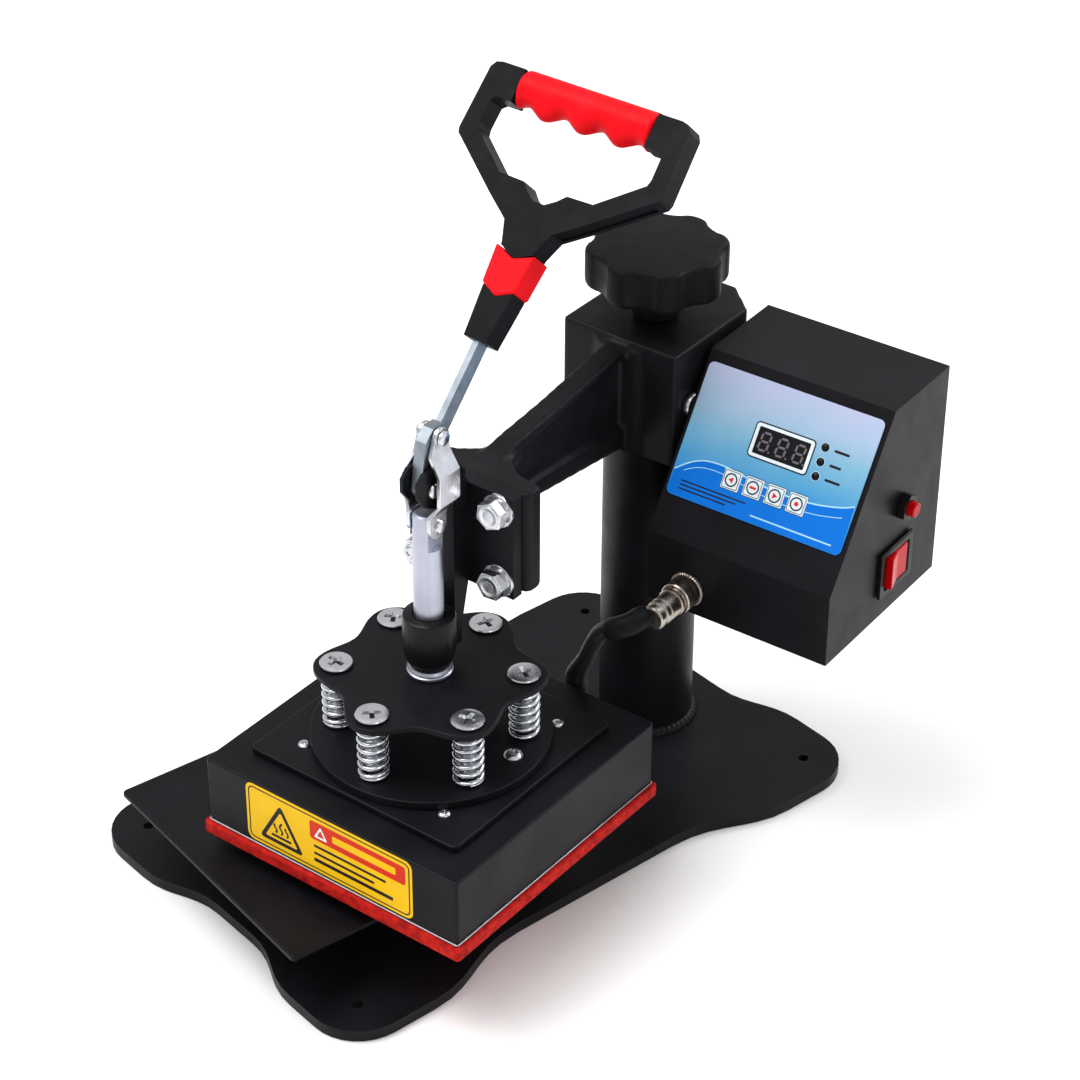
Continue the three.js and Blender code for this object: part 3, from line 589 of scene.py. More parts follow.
def lathe(name, profile, local, material, sides=96, wave=None):
    """Turns a profile of (radius, z) about the local Z axis; wave(angle, radius, z) may change the radius."""
    bm = bmesh.new()
    rings = []
    for radius, z in profile:
        if radius < 1e-6:
            rings.append([bm.verts.new((0, 0, z))])
            continue
        ring = []
        for i in range(sides):
            angle = TAU * i / sides
            r = wave(angle, radius, z) if wave else radius
            ring.append(bm.verts.new((r * math.cos(angle), r * math.sin(angle), z)))
        rings.append(ring)
    if profile[0] == profile[-1]:
        for vert in rings[-1]:
            bm.verts.remove(vert)
        rings[-1] = rings[0]
    for below, above in zip(rings, rings[1:]):
        for i in range(sides):
            j = (i + 1) % sides
            corners = [below[i % len(below)], below[j % len(below)]]
            corners += [above[j % len(above)], above[i % len(above)]]
            face = list(dict.fromkeys(corners))
            if len(face) > 2:
                bm.faces.new(face)
    return finish_mesh(name, bm, local, material)


def turned(name, profile, local, material, sides, wave=None):
    """A turned piece that replaces one CAD node."""
    return stand_in(lathe(name + "_fine", profile, local, material, sides, wave), name)


def near(radius, z, *offsets):
    """Profile points by their offsets from one corner."""
    return [(radius + across, z + up) for across, up in offsets]


def plate(name, loops, z0, z1, local, material, bevel=0.0, segments=3):
    """A flat piece: the first loop is its outline, the others are holes."""
    bm = bmesh.new()
    for loop in loops:
        ring = [bm.verts.new((x, y, z0)) for x, y in loop]
        for a, b in zip(ring, ring[1:] + ring[:1]):
            bm.edges.new((a, b))
    bmesh.ops.triangle_fill(bm, edges=bm.edges[:], use_beauty=True)
    bmesh.ops.dissolve_limit(bm, angle_limit=0.005, verts=bm.verts[:], edges=bm.edges[:])
    raised = bmesh.ops.extrude_face_region(bm, geom=bm.faces[:])["geom"]
    for item in raised:
        if isinstance(item, bmesh.types.BMVert):
            item.co.z = z1
    return finish_mesh(name, bm, local, material, bevel, segments)


def printed(loops, color, height, z=FILM_T, local=PANEL):
    """A thin layer of ink, for joining with others."""
    return plate("print", loops, z, z + height, local, color)


def sweep(name, points, radius, local, material, sides=16, section=None, swell=None):
    """A tube along points; swell(share of the way) scales it.

    A section replaces the circle: it keeps its flat sides to the front and only its width swells.
    """
    path = [Vector(p) for p in points]
    outline = section or circle(0, 0, radius, sides)
    last = len(path) - 1
    bm = bmesh.new()
    tangent = (path[1] - path[0]).normalized()
    normal = tangent.orthogonal().normalized()
    front = Vector((0, 1, 0))
    rings = []
    for i, point in enumerate(path):
        direction = (path[min(i + 1, last)] - path[max(i - 1, 0)]).normalized()
        if section:
            normal = (front - direction * front.dot(direction)).normalized()
        else:
            normal = (tangent.rotation_difference(direction) @ normal).normalized()
        tangent = direction
        side = tangent.cross(normal)
        size = swell(i / last) if swell else 1
        depth = 1 if section else size
        rings.append([bm.verts.new(point + normal * y * depth + side * x * size) for x, y in outline])
    skin(bm, rings)
    return finish_mesh(name, bm, local, material, smooth=50)


def smooth_path(points, steps):
    """Catmull-Rom through the points."""
    p = [Vector(q) for q in points]
    p = [p[0] * 2 - p[1]] + p + [p[-1] * 2 - p[-2]]
    out = []
    for i in range(1, len(p) - 2):
        a, b, c, d = p[i - 1:i + 3]
        for s in range(steps):
            t = s / steps
            bend = (2 * a - 5 * b + 4 * c - d) * t * t + (3 * b - a - 3 * c + d) * t ** 3
            out.append(0.5 * (2 * b + (c - a) * t + bend))
    out.append(p[-2])
    return out


def circle(x, y, r, count=32, start=0.0):
    angles = [start + TAU * i / count for i in range(count)]
    return [(x + r * math.cos(a), y + r * math.sin(a)) for a in angles]


def arc(x, y, r, start, end, steps):
    """Points from one angle to another, both in degrees."""
    angles = [math.radians(start + (end - start) * i / steps) for i in range(steps + 1)]
    return [(x + r * math.cos(a), y + r * math.sin(a)) for a in angles]


def rounded(x0, y0, x1, y1, r, steps=6):
    """A rectangle with round corners, anticlockwise from the upper right one."""
    left, right, low, high = x0 + r, x1 - r, y0 + r, y1 - r
    out = []
    for x, y, start in ((right, high, 0), (left, high, 90), (left, low, 180), (right, low, 270)):
        out += arc(x, y, r, start, start + 90, steps)
    return out


def strip(points, width):
    """The outline of a line of even width through points."""
    left, right = [], []
    for i, (x, y) in enumerate(points):
        ax, ay = points[max(i - 1, 0)]
        bx, by = points[min(i + 1, len(points) - 1)]
        length = math.hypot(bx - ax, by - ay)
        nx, ny = -(by - ay) / length, (bx - ax) / length
        left.append((x + nx * width / 2, y + ny * width / 2))
        right.append((x - nx * width / 2, y - ny * width / 2))
    return left + right[::-1]


def joined(name, *pieces):
    """Joins pieces made at the same place into one object."""
    bm = bmesh.new()
    materials = []
    for piece in pieces:
        if piece.modifiers:
            settle(piece)
        old = piece.data
        material = old.materials[0]
        if material not in materials:
            materials.append(material)
        first = len(bm.faces)
        bm.from_mesh(old)
        bm.faces.ensure_lookup_table()
        for face in bm.faces[first:]:
            face.material_index = materials.index(material)
        bpy.data.objects.remove(piece)
        bpy.data.meshes.remove(old)
    mesh = bpy.data.meshes.new(name)
    bm.to_mesh(mesh)
    bm.free()
    for material in materials:
        mesh.materials.append(material)
    return add_object(name, mesh)


def facing(local, point, direction):
    """A frame at a local point whose Z looks along a local direction."""
    turn = UP.rotation_difference(Vector(direction)).to_matrix().to_4x4()
    return local @ Matrix.Translation(point) @ turn


def carve(made, tool, operation="DIFFERENCE"):
    """Cuts a tool out of a piece, or joins or intersects them."""
    modifier = made.modifiers.new("cut", "BOOLEAN")
    modifier.operation = operation
    modifier.solver = "EXACT"
    modifier.object = tool
    settle(made)
    bpy.data.objects.remove(tool)
    made.data.shade_smooth()
    made.data.set_sharp_from_angle(angle=math.radians(35))
    return made


# ------------------------ fasteners
def cross_screw(name, local, profile, reach, width, depth):
    """A turned head with a tapering cross slot; the profile's last point is the top of the head."""
    made = lathe(name, profile, local, ZINC, sides=48)
    top = profile[-1][1]
    for turn in (0, math.pi / 2):
        bm = bmesh.new()
        mouth = [(-reach, -width), (reach, -width), (reach, width), (-reach, width)]
        verts = [bm.verts.new((x, y, top + 1)) for x, y in mouth]
        verts += [bm.verts.new((x * 0.45, y * 0.6, top - depth)) for x, y in mouth]
        for face in ((0, 1, 2, 3), (4, 5, 6, 7), (0, 1, 5, 4), (1, 2, 6, 5), (2, 3, 7, 6), (3, 0, 4, 7)):
            bm.faces.new([verts[i] for i in face])
        carve(made, finish_mesh("blade", bm, local @ Matrix.Rotation(turn, 4, "Z"), ZINC))
    return made


def flat_screw(name, local, r, length, spin):
    """A countersunk cross-head screw hanging down from its head."""
    shank = 3.9
    profile = [(0, -length), (shank - 0.4, -length), (shank, -length + 0.6), (shank, -2.0), (r - 0.6, -0.6)]
    profile += [(r, -0.1), (r, 0.35), (r - 0.35, 0.8), (r * 0.8, 1.05), (r * 0.66, 1.12), (0, 1.12)]
    return cross_screw(name, local @ Matrix.Rotation(spin, 4, "Z"), profile, r * 0.68, r * 0.17, 2.4)


def pan_screw(name, local, r, height, spin):
    """A low domed cross-head screw, a little sunk in its seat."""
    profile = [(0, -0.5), (r, -0.5), (r, height * 0.35), (r * 0.86, height * 0.75)]
    profile += [(r * 0.6, height), (0, height)]
    spun = local @ Matrix.Rotation(spin, 4, "Z")
    return cross_screw(name, spun, profile, r * 0.55, r * 0.13, height * 0.75)


def hex_bolt(name, local, across, height, washer_r, spin):
    """A hexagon head with a domed crown on a spring washer and a flat washer."""
    flat, base = 1.4, 2.9
    washer = [(0, 0), (washer_r, 0), (washer_r, flat - 0.3), (washer_r - 0.3, flat), (0, flat)]
    ring = [(0, flat), (washer_r * 0.72, flat), (washer_r * 0.74, base), (0, base)]
    inner, top = across / 2, base + height
    crown = [(0, base + height * 0.6), (inner * 0.9, base + height * 0.6), (inner * 0.9, top + 0.3)]
    crown += [(inner * 0.82, top + 0.45), (inner * 0.66, top + 0.2), (0, top - 0.5)]
    hexagon = circle(0, 0, inner / math.cos(math.pi / 6), 6, spin)
    return joined(
        name,
        lathe("washer", washer, local, ZINC, 64),
        lathe("ring", ring, local, ZINC, 48),
        plate("head", [hexagon], base, top, local, ZINC, 0.5),
        lathe("crown", crown, local, ZINC, 48),
    )


def numbered(xs, ys):
    """Every x with every y, numbered from 1."""
    return enumerate([(x, y) for x in xs for y in ys], 1)


# ------------------------ the lead to the heater
# The route in the arm's frame, as in the part's source.
LEAD_UPPER = [
    (59, -89.6, 138.5), (57.5, -97, 138), (52, -101.5, 135.5), (44.5, -101, 130.5), (37.5, -98.5, 119),
    (32, -96.5, 107),
]
LEAD_LOWER = [
    LEAD_UPPER[-1], (27.5, -95.2, 98.5), (24.5, -93.6, 91), (22.6, -91.2, 84), (22, -92, 78.6),
    (22, -95.4, 76.3), (22, -99.3, 76),
]
LEAD_WIDTH = 8.4


def twin_section(width):
    """Two round strands side by side."""
    r = width / 4
    right = [(x, 1.15 * y) for x, y in arc(r, 0, r, -135, 135, 9)]
    return right + [(-x, -y) for x, y in right]


def boot_size(share):
    """The boot swells where it leaves the plug and ends bluntly round the flat lead."""
    rise = min(1.0, 0.86 + 1.6 * share)
    return 1.06 * rise * min(1.0, 0.9 + 2.4 * (1 - share))


def splay(share):
    """The two strands stand further apart half way down."""
    return 1 + 0.6 * math.sin(math.pi * share) ** 2


def lead():
    """A short flat lead: from the plug it bends down to the head, which rises and falls."""
    section = twin_section(LEAD_WIDTH)
    upper_route = smooth_path(LEAD_UPPER, 5)
    lower_route = smooth_path(LEAD_LOWER, 5)
    upper = sweep("lead_upper_fine", upper_route, 0, ARM, SLEEVE, section=section)
    lower = sweep("lead_lower_fine", lower_route, 0, ARM, SLEEVE, section=section, swell=splay)
    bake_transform(upper)
    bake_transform(lower)
    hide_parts("lead_upper")
    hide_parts("lead_lower")
    inside_plug = upper_route[0] * 2 - upper_route[2]
    boot_route = [inside_plug] + upper_route[:13]
    boot = sweep("lead_boot", boot_route, 5.2, ARM, PLASTIC, sides=32, swell=boot_size)
    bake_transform(boot)


# ------------------------ base, column and lower platen
def base():
    refined("base_plate", PAINT, 0.9)
    column()
    refined("platen_post", CAST, 0.8)
    refined("lower_platen", PAINT, 0.8)


def column():
    """The tube, with the screw's plug in its top and a rippled weld bead round its foot."""
    low, high = span("column", WORLD)
    r = half_width("column", WORLD)
    bore, wall = 6.6, 3
    plug_end = high.z - 20
    centre = moved(WORLD, column_axis.x / MM, column_axis.y / MM, 0)
    profile = [(bore, plug_end), (bore, high.z - 0.6), (bore + 0.6, high.z), (r - 0.9, high.z)]
    profile += [(r, high.z - 0.9), (r, low.z), (r - wall, low.z), (r - wall, plug_end), (bore, plug_end)]
    tube = lathe("column_tube", profile, centre, PAINT, sides=128)
    bead = near(r, low.z, (-0.3, 0), (-0.3, 3.2), (0.9, 2.9), (2.4, 1.6), (3.2, 0.2), (3.2, 0), (-0.3, 0))

    def ripple(angle, radius, z):
        return radius + (0.28 * math.cos(52 * angle) if radius > r + 0.5 else 0)

    weld = lathe("column_weld", bead, centre, PAINT, sides=416, wave=ripple)
    stand_in(joined("column_fine", tube, weld), "column")


def lifting_parts():
    refined("thrust_collar", ZINC, 0.5)
    pressure_screw()
    pressure_knob()


def pressure_screw():
    """A threaded rod with short plain ends."""
    low, high = span("pressure_screw", WORLD)
    centre = middle("pressure_screw", WORLD)
    r = half_width("pressure_screw", WORLD)
    core = r - 1.3
    pitch, end = 2.0, 2
    threaded = high.z - low.z - 2 * end
    rows = int(threaded / pitch * 6)

    def thread(angle, radius, z):
        phase = (z / pitch - angle / TAU) % 1
        return radius if radius < r else r - 1.1 * abs(2 * phase - 1)

    profile = [(0, low.z), (core, low.z)]
    profile += [(r, low.z + end + threaded * row / rows) for row in range(rows + 1)]
    profile += [(core, high.z), (0, high.z)]
    turned("pressure_screw", profile, moved(WORLD, centre.x, centre.y, 0), ZINC, 32, thread)


def pressure_knob():
    """A moulded knob with shallow scallops, a flat top and rounded edges."""
    low, high = span("pressure_knob", ARM)
    rim, lobe = 33.0, 1.8
    head_z, bore_end = high.z - 21, high.z - 17.7
    profile = [(0, bore_end), (6.4, bore_end), (6.4, low.z), (10.8, low.z), (11.5, low.z + 0.7)]
    profile += [(11.5, head_z - 1), (12.5, head_z)]
    profile += near(rim, head_z, (-4.4, 0), (-2.4, 0.4), (-0.9, 1.5), (-0.2, 3), (0, 5))
    profile += near(rim, high.z, (0, -3.0), (-0.2, -1.8), (-0.8, -0.8), (-1.7, -0.25), (-3.0, 0))

    def scallop(angle, radius, z):
        wave = math.cos(8 * angle)
        share = max(0.0, min(1.0, (radius - 22) / 8))
        return radius + lobe * share * math.copysign(abs(wave) ** 0.7, wave)

    turned("pressure_knob", profile + [(0, high.z)], ARM, PLASTIC, 320, scallop)


# ------------------------ arm, bracket and linkage
def arm():
    cast("arm_casting", ARM, CAST, 1.0, 10)
    refined("toggle_bracket", PAINT, 0.6)
    guide_sleeve()
    refined("lever_crank", LEVER, 0.45)
    for name in ("lever_pivot_pin", "link_pin"):
        turned_bar(name, 0.67)
    for name in ("plunger_pin", "box_spacer_1", "box_spacer_2"):
        turned_bar(name)
    for name, side in (("link_right", 1), ("link_left", -1)):
        link(name, side)
    flange = 6.2
    flange_front = span("toggle_bracket", ARM)[1].y - flange
    for side_name, x in (("left", -22), ("right", 22)):
        for level, z, spin in (("upper", 216, 0.4), ("lower", 178, 0.1)):
            spot = facing(ARM, (x, flange_front, z), (0, -1, 0))
            fix(hex_bolt(f"bracket_bolt_{side_name}_{level}", spot, 13, 5.0, 8.4, spin), "arm", "zinc")


def guide_sleeve():
    """The black barrel that the plunger slides in, slotted where the bracket's web holds it."""
    low, high = span("guide_sleeve", ARM)
    r, bore = half_width("guide_sleeve", ARM), 7.4
    profile = near(r, low.z, (bore - r, 0), (-2.6, 0), (-1.9, 0.6), (-0.7, 4), (-0.15, 7), (0, 10))
    profile += near(r, high.z, (0, -1.6), (-0.4, -0.5), (-1.2, 0))
    profile += [(bore + 0.7, high.z), (bore, high.z - 0.7), profile[0]]
    made = lathe("guide_sleeve_fine", profile, PLUNGER, GLOSS, sides=128)
    slot = [(-4.3, 10), (4.3, 10), (4.3, 14.2), (-4.3, 14.2)]
    stand_in(carve(made, plate("slot", [slot], low.z - 1, high.z + 1, PLUNGER, GLOSS)), "guide_sleeve")


def turned_bar(name, neck=1.0):
    """A round bar along the arm frame's X; a neck under 1 makes a pin with two heads."""
    low, high = span(name, ARM)
    half, r = (high.x - low.x) / 2, (high.z - low.z) / 2
    end = [(0, half), (r - 0.9, half), (r - 0.3, half - 0.25), (r, half - 0.8)]
    if neck < 1:
        end += [(r, half - 1.6), (r * neck, half - 1.6)]
    profile = [(x, -z) for x, z in end] + end[::-1]
    turned(name, profile, facing(ARM, middle(name, ARM), (1, 0, 0)), ZINC, 64)


def link(name, side):
    """A folded strap: close to the lever above, wide round the fork, close to the plunger below."""
    thick, pad = 2.2, 4.9
    top, low = LINK_TOP, LINK_LOW
    inner = near(3.3, top.z, (0, 8), (0, -7), (5.1, -16)) + near(pad, low.z, (3.5, 12), (0, 7), (0, -8))
    folded = [(side * x, z) for x, z in inner] + [(side * (x + thick), z) for x, z in inner[::-1]]
    made = plate(name + "_strap", [folded], -top.y - 12, -top.y + 16, ARM @ FACE_ON, ZINC)
    outline = arc(top.y, top.z, 5, 0, 180, 16) + near(top.y, top.z, (-8, -8))
    outline += near(low.y, low.z, (-3.3, 12.5), (-6.5, 6)) + arc(low.y - 0.5, low.z, 6, 180, 360, 16)
    outline += near(low.y, low.z, (5.5, 6)) + [(top.y + 6, low.z + 12.5), (top.y + 6, top.z - 17)]
    view = plate("view", [outline], min(0, 20 * side), max(0, 20 * side), ARM @ SIDEWAYS, ZINC)
    add_bevel(carve(made, view, "INTERSECT"), 0.4)
    rivet = [(0, -2), (3.4, -2), (3.4, 0.9), (2.9, 1.5), (1.6, 1.85), (0, 1.85)]
    spot = facing(ARM, (side * (pad + thick), low.y, low.z), (side, 0, 0))
    stand_in(joined(name + "_fine", made, lathe("rivet", rivet, spot, ZINC, sides=48)), name)


def plunger():
    """The sliding rod, with two flats near its top for the links."""
    low, high = span("plunger", ARM)
    r = half_width("plunger", ARM)
    profile = [(0, low.z), (r - 0.5, low.z), (r, low.z + 0.5)]
    profile += [(r, high.z - 1.0), (r - 1.0, high.z), (0, high.z)]
    made = lathe("plunger_fine", profile, PLUNGER, CHROME, sides=128)
    flat, outside, foot, top = 4.6, 12, 201, 230
    for side in (-1, 1):
        near_x, far_x = side * flat, side * outside
        outline = [(near_x, -outside), (far_x, -outside), (far_x, outside), (near_x, outside)]
        carve(made, plate("flat", [outline], foot, top, PLUNGER, CHROME))
    stand_in(add_bevel(made, 0.25, 2), "plunger")
    ring_nut(r + 0.3)
    spring_plate()
    clip = [(x, 0, z) for x, z in arc(-r - 2.6, 0, 3.4, -160, 160, 16)]
    loop = sweep("plunger_clip", clip, 0.55, moved(PLUNGER, 0, 0, 193), ZINC, sides=10)
    fix(loop, "plunger", "zinc")


def ring_nut(bore):
    """A turned ring with a groove round its middle."""
    low, high = span("ring_nut", ARM)
    r = half_width("ring_nut", ARM)
    profile = near(r, low.z, (-0.4, 0), (0, 0.5), (0, 1.6), (-0.7, 2.1), (-0.7, 2.6), (-0.2, 3.1))
    profile += [(r - 0.9, high.z - 0.4), (bore + 1.3, high.z), (bore, high.z)]
    profile = [(bore, low.z)] + profile + [(bore, low.z)]
    turned("ring_nut", profile, PLUNGER, CHROME, 96)


def spring_plate():
    """A six-lobed plate; each lobe holds a float screw."""
    low, high = span("spring_plate", ARM)
    first = middle("float_screw_1", ARM)
    start = math.atan2(first.y - PLUNGER_Y, first.x)
    edge = []
    for i in range(288):
        angle = TAU * i / 288
        r = 49.5 + 5.2 * math.cos(6 * (angle - start))
        edge.append((r * math.cos(angle), r * math.sin(angle)))
    stand_in(plate("spring_plate_fine", [edge], low.z, high.z, PLUNGER, PAINT, 0.6), "spring_plate")


# ------------------------ the sprung head
def head():
    for i in range(1, 7):
        float_screw(i)
        head_spring(i)
    disc_low, disc_high = span("head_disc", ARM)
    disc = circle(0, 0, half_width("head_disc", ARM), 192)
    stand_in(plate("head_disc_fine", [disc], disc_low.z, disc_high.z, PLUNGER, PAINT, 0.5), "head_disc")
    refined("step_plate", PAINT, 0.6)
    refined("head_cover", PAINT, 0.9)
    refined("heater_plate", ALUMINIUM, 0.4)
    refined("silicone_pad", SILICONE, 1.1)
    refined("insulation", WOOL, 0.8)
    for number, (x, y) in enumerate(((44, 6), (-44, -6)), 1):
        spot = moved(PLUNGER, x, y, disc_high.z)
        fix(pan_screw(f"disc_screw_{number}", spot, 4.5, 2.0, number - 0.6), "head", "zinc")
    step_top = span("step_plate", ARM)[1].z
    for number, (x, y) in numbered((-42, 42), (-42.5, 42.5)):
        spot = moved(PLUNGER, x, y, step_top)
        fix(pan_screw(f"step_screw_{number}", spot, 3.0, 1.4, 0.7 * number), "head", "zinc")


def float_screw(i):
    name = f"float_screw_{i}"
    low, high = span(name, ARM)
    at = middle(name, ARM)
    local = moved(ARM, at.x, at.y, high.z - 1.15)
    made = flat_screw(name + "_fine", local, half_width(name, ARM), high.z - low.z - 1.2, 0.3 + 0.9 * i)
    stand_in(made, name)


def head_spring(i):
    """A compression spring with a flat coil at each end."""
    name = f"spring_{i}"
    low, high = span(name, ARM)
    at = middle(name, ARM)
    wire_r = 1.2
    mean_r = half_width(name, ARM) - wire_r
    coils, flat_coils = 7.5, 0.8
    steps = int(coils * 22)
    points = []
    for s in range(steps + 1):
        wound = coils * s / steps
        angle = TAU * wound + 1.1 * i
        rise = min(1, max(0, (wound - flat_coils) / (coils - 2 * flat_coils)))
        z = low.z + wire_r + (high.z - low.z - 2 * wire_r) * rise
        points.append((at.x + mean_r * math.cos(angle), at.y + mean_r * math.sin(angle), z))
    made = sweep(name + "_coil", points, wire_r, ARM, SPRING, sides=10)
    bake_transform(made)
    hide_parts(name)


def hot_label():
    """A yellow sticker with a plain hot-surface sign, a red band and blank bars."""
    front_y = span("head_cover", ARM)[0].y
    face = ARM @ basis((0, front_y, 0), (1, 0, 0), (0, 0, 1), (0, -1, 0))
    parts = []

    def add(material, *loops, z=0.1, height=0.12):
        parts.append(printed(loops, material, height, z, face))

    add(YELLOW, rounded(-50, 56, 49.5, 89.2, 4), z=0.0, height=0.16)
    add(BLACK_INK, rounded(-48.6, 57.4, 48.1, 87.8, 3.2), rounded(-47.9, 58.1, 47.4, 87.1, 2.6), height=0.1)
    x, foot, side = -29, 60.5, 27
    tip = foot + side * 0.88
    hole = soft_triangle(x, foot + 2.1, side - 7, tip - 4.2, 0.9)
    add(BLACK_INK, soft_triangle(x, foot, side, tip, 1.8), hole)
    for offset, steps in ((-3.4, 7), (0, 9), (3.4, 7)):
        wave = [(x + offset + 0.8 * math.sin(i * 0.9), foot + 6.2 + i * 0.85) for i in range(steps)]
        add(BLACK_INK, strip(wave, 1.1))
    add(BLACK_INK, rounded(x - 6, foot + 3.6, x + 6, foot + 5, 0.4))
    add(LABEL_RED, rounded(-11, 74.6, 45.6, 85.2, 1.6))
    small = soft_triangle(-4.5, 76.4, 8, 83.4, 0.6)
    add(WHITE_INK, small, soft_triangle(-4.5, 77.4, 4.6, 81.6, 0.3), z=0.15, height=0.13)
    add(YELLOW, rounded(2.5, 78, 40, 82, 0.8), z=0.15, height=0.13)
    for end, low, high in ((34, 70.2, 71.6), (27, 66.0, 67.4), (38, 61.8, 63.8)):
        add(BLACK_INK, rounded(-9, low, end, high, 0.5))
    fix(joined("hot_surface_label", *parts), "head", "overlay")


def soft_triangle(cx, foot, side, tip, r):
    """A triangle on a level foot, its corners rounded by short curves."""
    corners = [Vector((cx - side / 2, foot)), Vector((cx + side / 2, foot)), Vector((cx, tip))]
    out = []
    for i, corner in enumerate(corners):
        before = (corners[i - 1] - corner).normalized()
        after = (corners[(i + 1) % 3] - corner).normalized()
        for t in (0, 0.25, 0.5, 0.75, 1):
            a, b = corner + before * r * 1.7, corner + after * r * 1.7
            out.append(tuple(a * (1 - t) ** 2 + corner * 2 * t * (1 - t) + b * t * t))
    return out


# ------------------------ handle
CHEVRON = 4.3  # how far the collar's points and notches reach


def handle():
    """The moulded frame: channels in its lower arms, a notch and a tongue for the collar's points."""
    bm = copy_of("handle_frame", whole_faces=False)
    made = finish_mesh("handle_frame_fine", bm, Matrix.Identity(4), PLASTIC)
    arm_edge = [(14.5, 99), (26.3, 107), (52.5, 125.9)]
    low, high = span("handle_collar", HANDLE)
    notch = near(0, low.z, (-9.3, 1), (-9.3, -0.1), (0, -0.1 - CHEVRON), (9.3, -0.1), (9.3, 1))
    for side in (-1, 1):
        band = strip([(side * x, z) for x, z in arm_edge], 2.2)
        carve(made, plate("channel", [band], -3.4, 3.4, HANDLE_FLAT, PLASTIC))
        carve(made, plate("notch", [notch], side * 4.7, side * 9, HANDLE_FLAT, PLASTIC))
    tongue = near(0, high.z, (-8.8, 1), (-8.8, 0.1), (0, 0.1 - CHEVRON), (8.8, 0.1), (8.8, 1))
    carve(made, plate("tongue", [tongue], -5.98, 5.98, HANDLE_FLAT, PLASTIC), "UNION")
    add_bevel(made, 0.6, 3)
    stand_in(made, "handle_frame")
    grip()
    collar()


def grip():
    """A rubber grip with finger grooves on its underside."""
    half = half_width("handle_grip", HANDLE)
    bar_z, r, groove_pitch = 158.4, 8.4, 20.5
    steps = 120
    bm = bmesh.new()
    rings = []
    for s in range(steps + 1):
        x = half * (2 * s / steps - 1)
        edge = min(1, (half - abs(x)) / 1.6)
        shrink = 1 - 0.16 * (1 - math.sqrt(max(0, 1 - (1 - edge) ** 2)))
        under = r + 1.6 + 2 * math.cos(TAU * x / groove_pitch)
        ring = []
        for y, z in circle(0, 0, 1, 40):
            width = r * 0.96 * (1 - 0.1 * max(0, -z))
            depth = r if z > 0 else under
            ring.append(bm.verts.new((x, width * shrink * y, bar_z + depth * shrink * z)))
        rings.append(ring)
    skin(bm, rings)
    stand_in(finish_mesh("handle_grip_fine", bm, HANDLE, RUBBER, smooth=50), "handle_grip")


def collar():
    """A rubber band with pointed edges round the handle's neck."""
    low, high = span("handle_collar", HANDLE)
    half = (high.y - low.y) / 2
    outline = near(0, low.z, (-9.3, 0), (0, -CHEVRON), (9.3, 0))
    outline += near(0, high.z, (10.9, 0), (0, -CHEVRON), (-10.9, 0))
    made = plate("handle_collar_fine", [outline], -half, half, HANDLE_FLAT, RUBBER, 1.0, 4)
    stand_in(made, "handle_collar")


# ------------------------ control box
def control_box():
    refined("box_shell", PAINT, 0.9)
    refined("box_back", PAINT, 0.25)
    back_y = span("box_back", BOX)[1].y
    inset = 8
    for number, (x, z) in numbered((inset, BOX_W - inset), (inset, BOX_H - inset)):
        spot = facing(BOX, (x, back_y, z), (0, 1, 0))
        fix(pan_screw(f"back_screw_{number}", spot, 2.8, 1.5, number), "arm", "zinc")
    refined("breaker_body", GLOSS, 0.4)
    refined("breaker_button", SWITCH, 0.7)
    refined("rocker_frame", GLOSS, 0.7)
    refined("power_rocker", SWITCH, 0.6)
    refined("mains_gland", PLASTIC, 0.5)
    plug()
    board = NODES["circuit_board"].data
    board.materials.clear()
    board.materials.append(BOARD)


def plug():
    """A screw-on connector: the socket's flange, a knurled ring, a smooth barrel and a clamp end."""
    low, high = span("connector_plug", BOX)
    at = middle("connector_plug", BOX)
    front = (0, -1, 0)

    def knurl(angle, r, z):
        return r + (0.32 * math.cos(36 * angle) if 1.2 < z < 8.4 and r > 7.4 else 0)

    def flange(angle, r, z):
        return r + (0.25 * math.cos(40 * angle) if r > 8.5 else 0)

    profile = [(5.9, 0), (7.2, 0), (8.0, 0.8), (8.0, 8.6), (7.5, 9.2), (6.4, 9.4), (6.4, 10.6), (7.0, 11.0)]
    profile += [(7.0, 12.4), (6.4, 12.8)]
    profile += near(0, high.y - low.y, (6.4, -9), (5.9, -8.6), (5.9, -8), (6.4, -7.6), (6.4, -5.4), (5.6, -5),
                    (5.6, -3.4), (6.2, -3), (6.2, -0.8), (5.4, 0), (0, 0))
    profile += [(0, 4), (5.9, 3.5), (5.9, 0)]
    spot = facing(BOX, (at.x, high.y, at.z), front)
    turned("connector_plug", profile, spot, NICKEL, 216, knurl)
    rings = [(0, -12), (5.5, -12), (5.5, 0.3), (8.8, 0.3), (8.8, 2.0), (8.3, 2.6)]
    rings += [(5.5, 2.6), (5.5, 9), (0, 9)]
    spot = facing(BOX, (at.x, 0, at.z), front)
    turned("connector_socket", rings, spot, NICKEL, 240, flange)


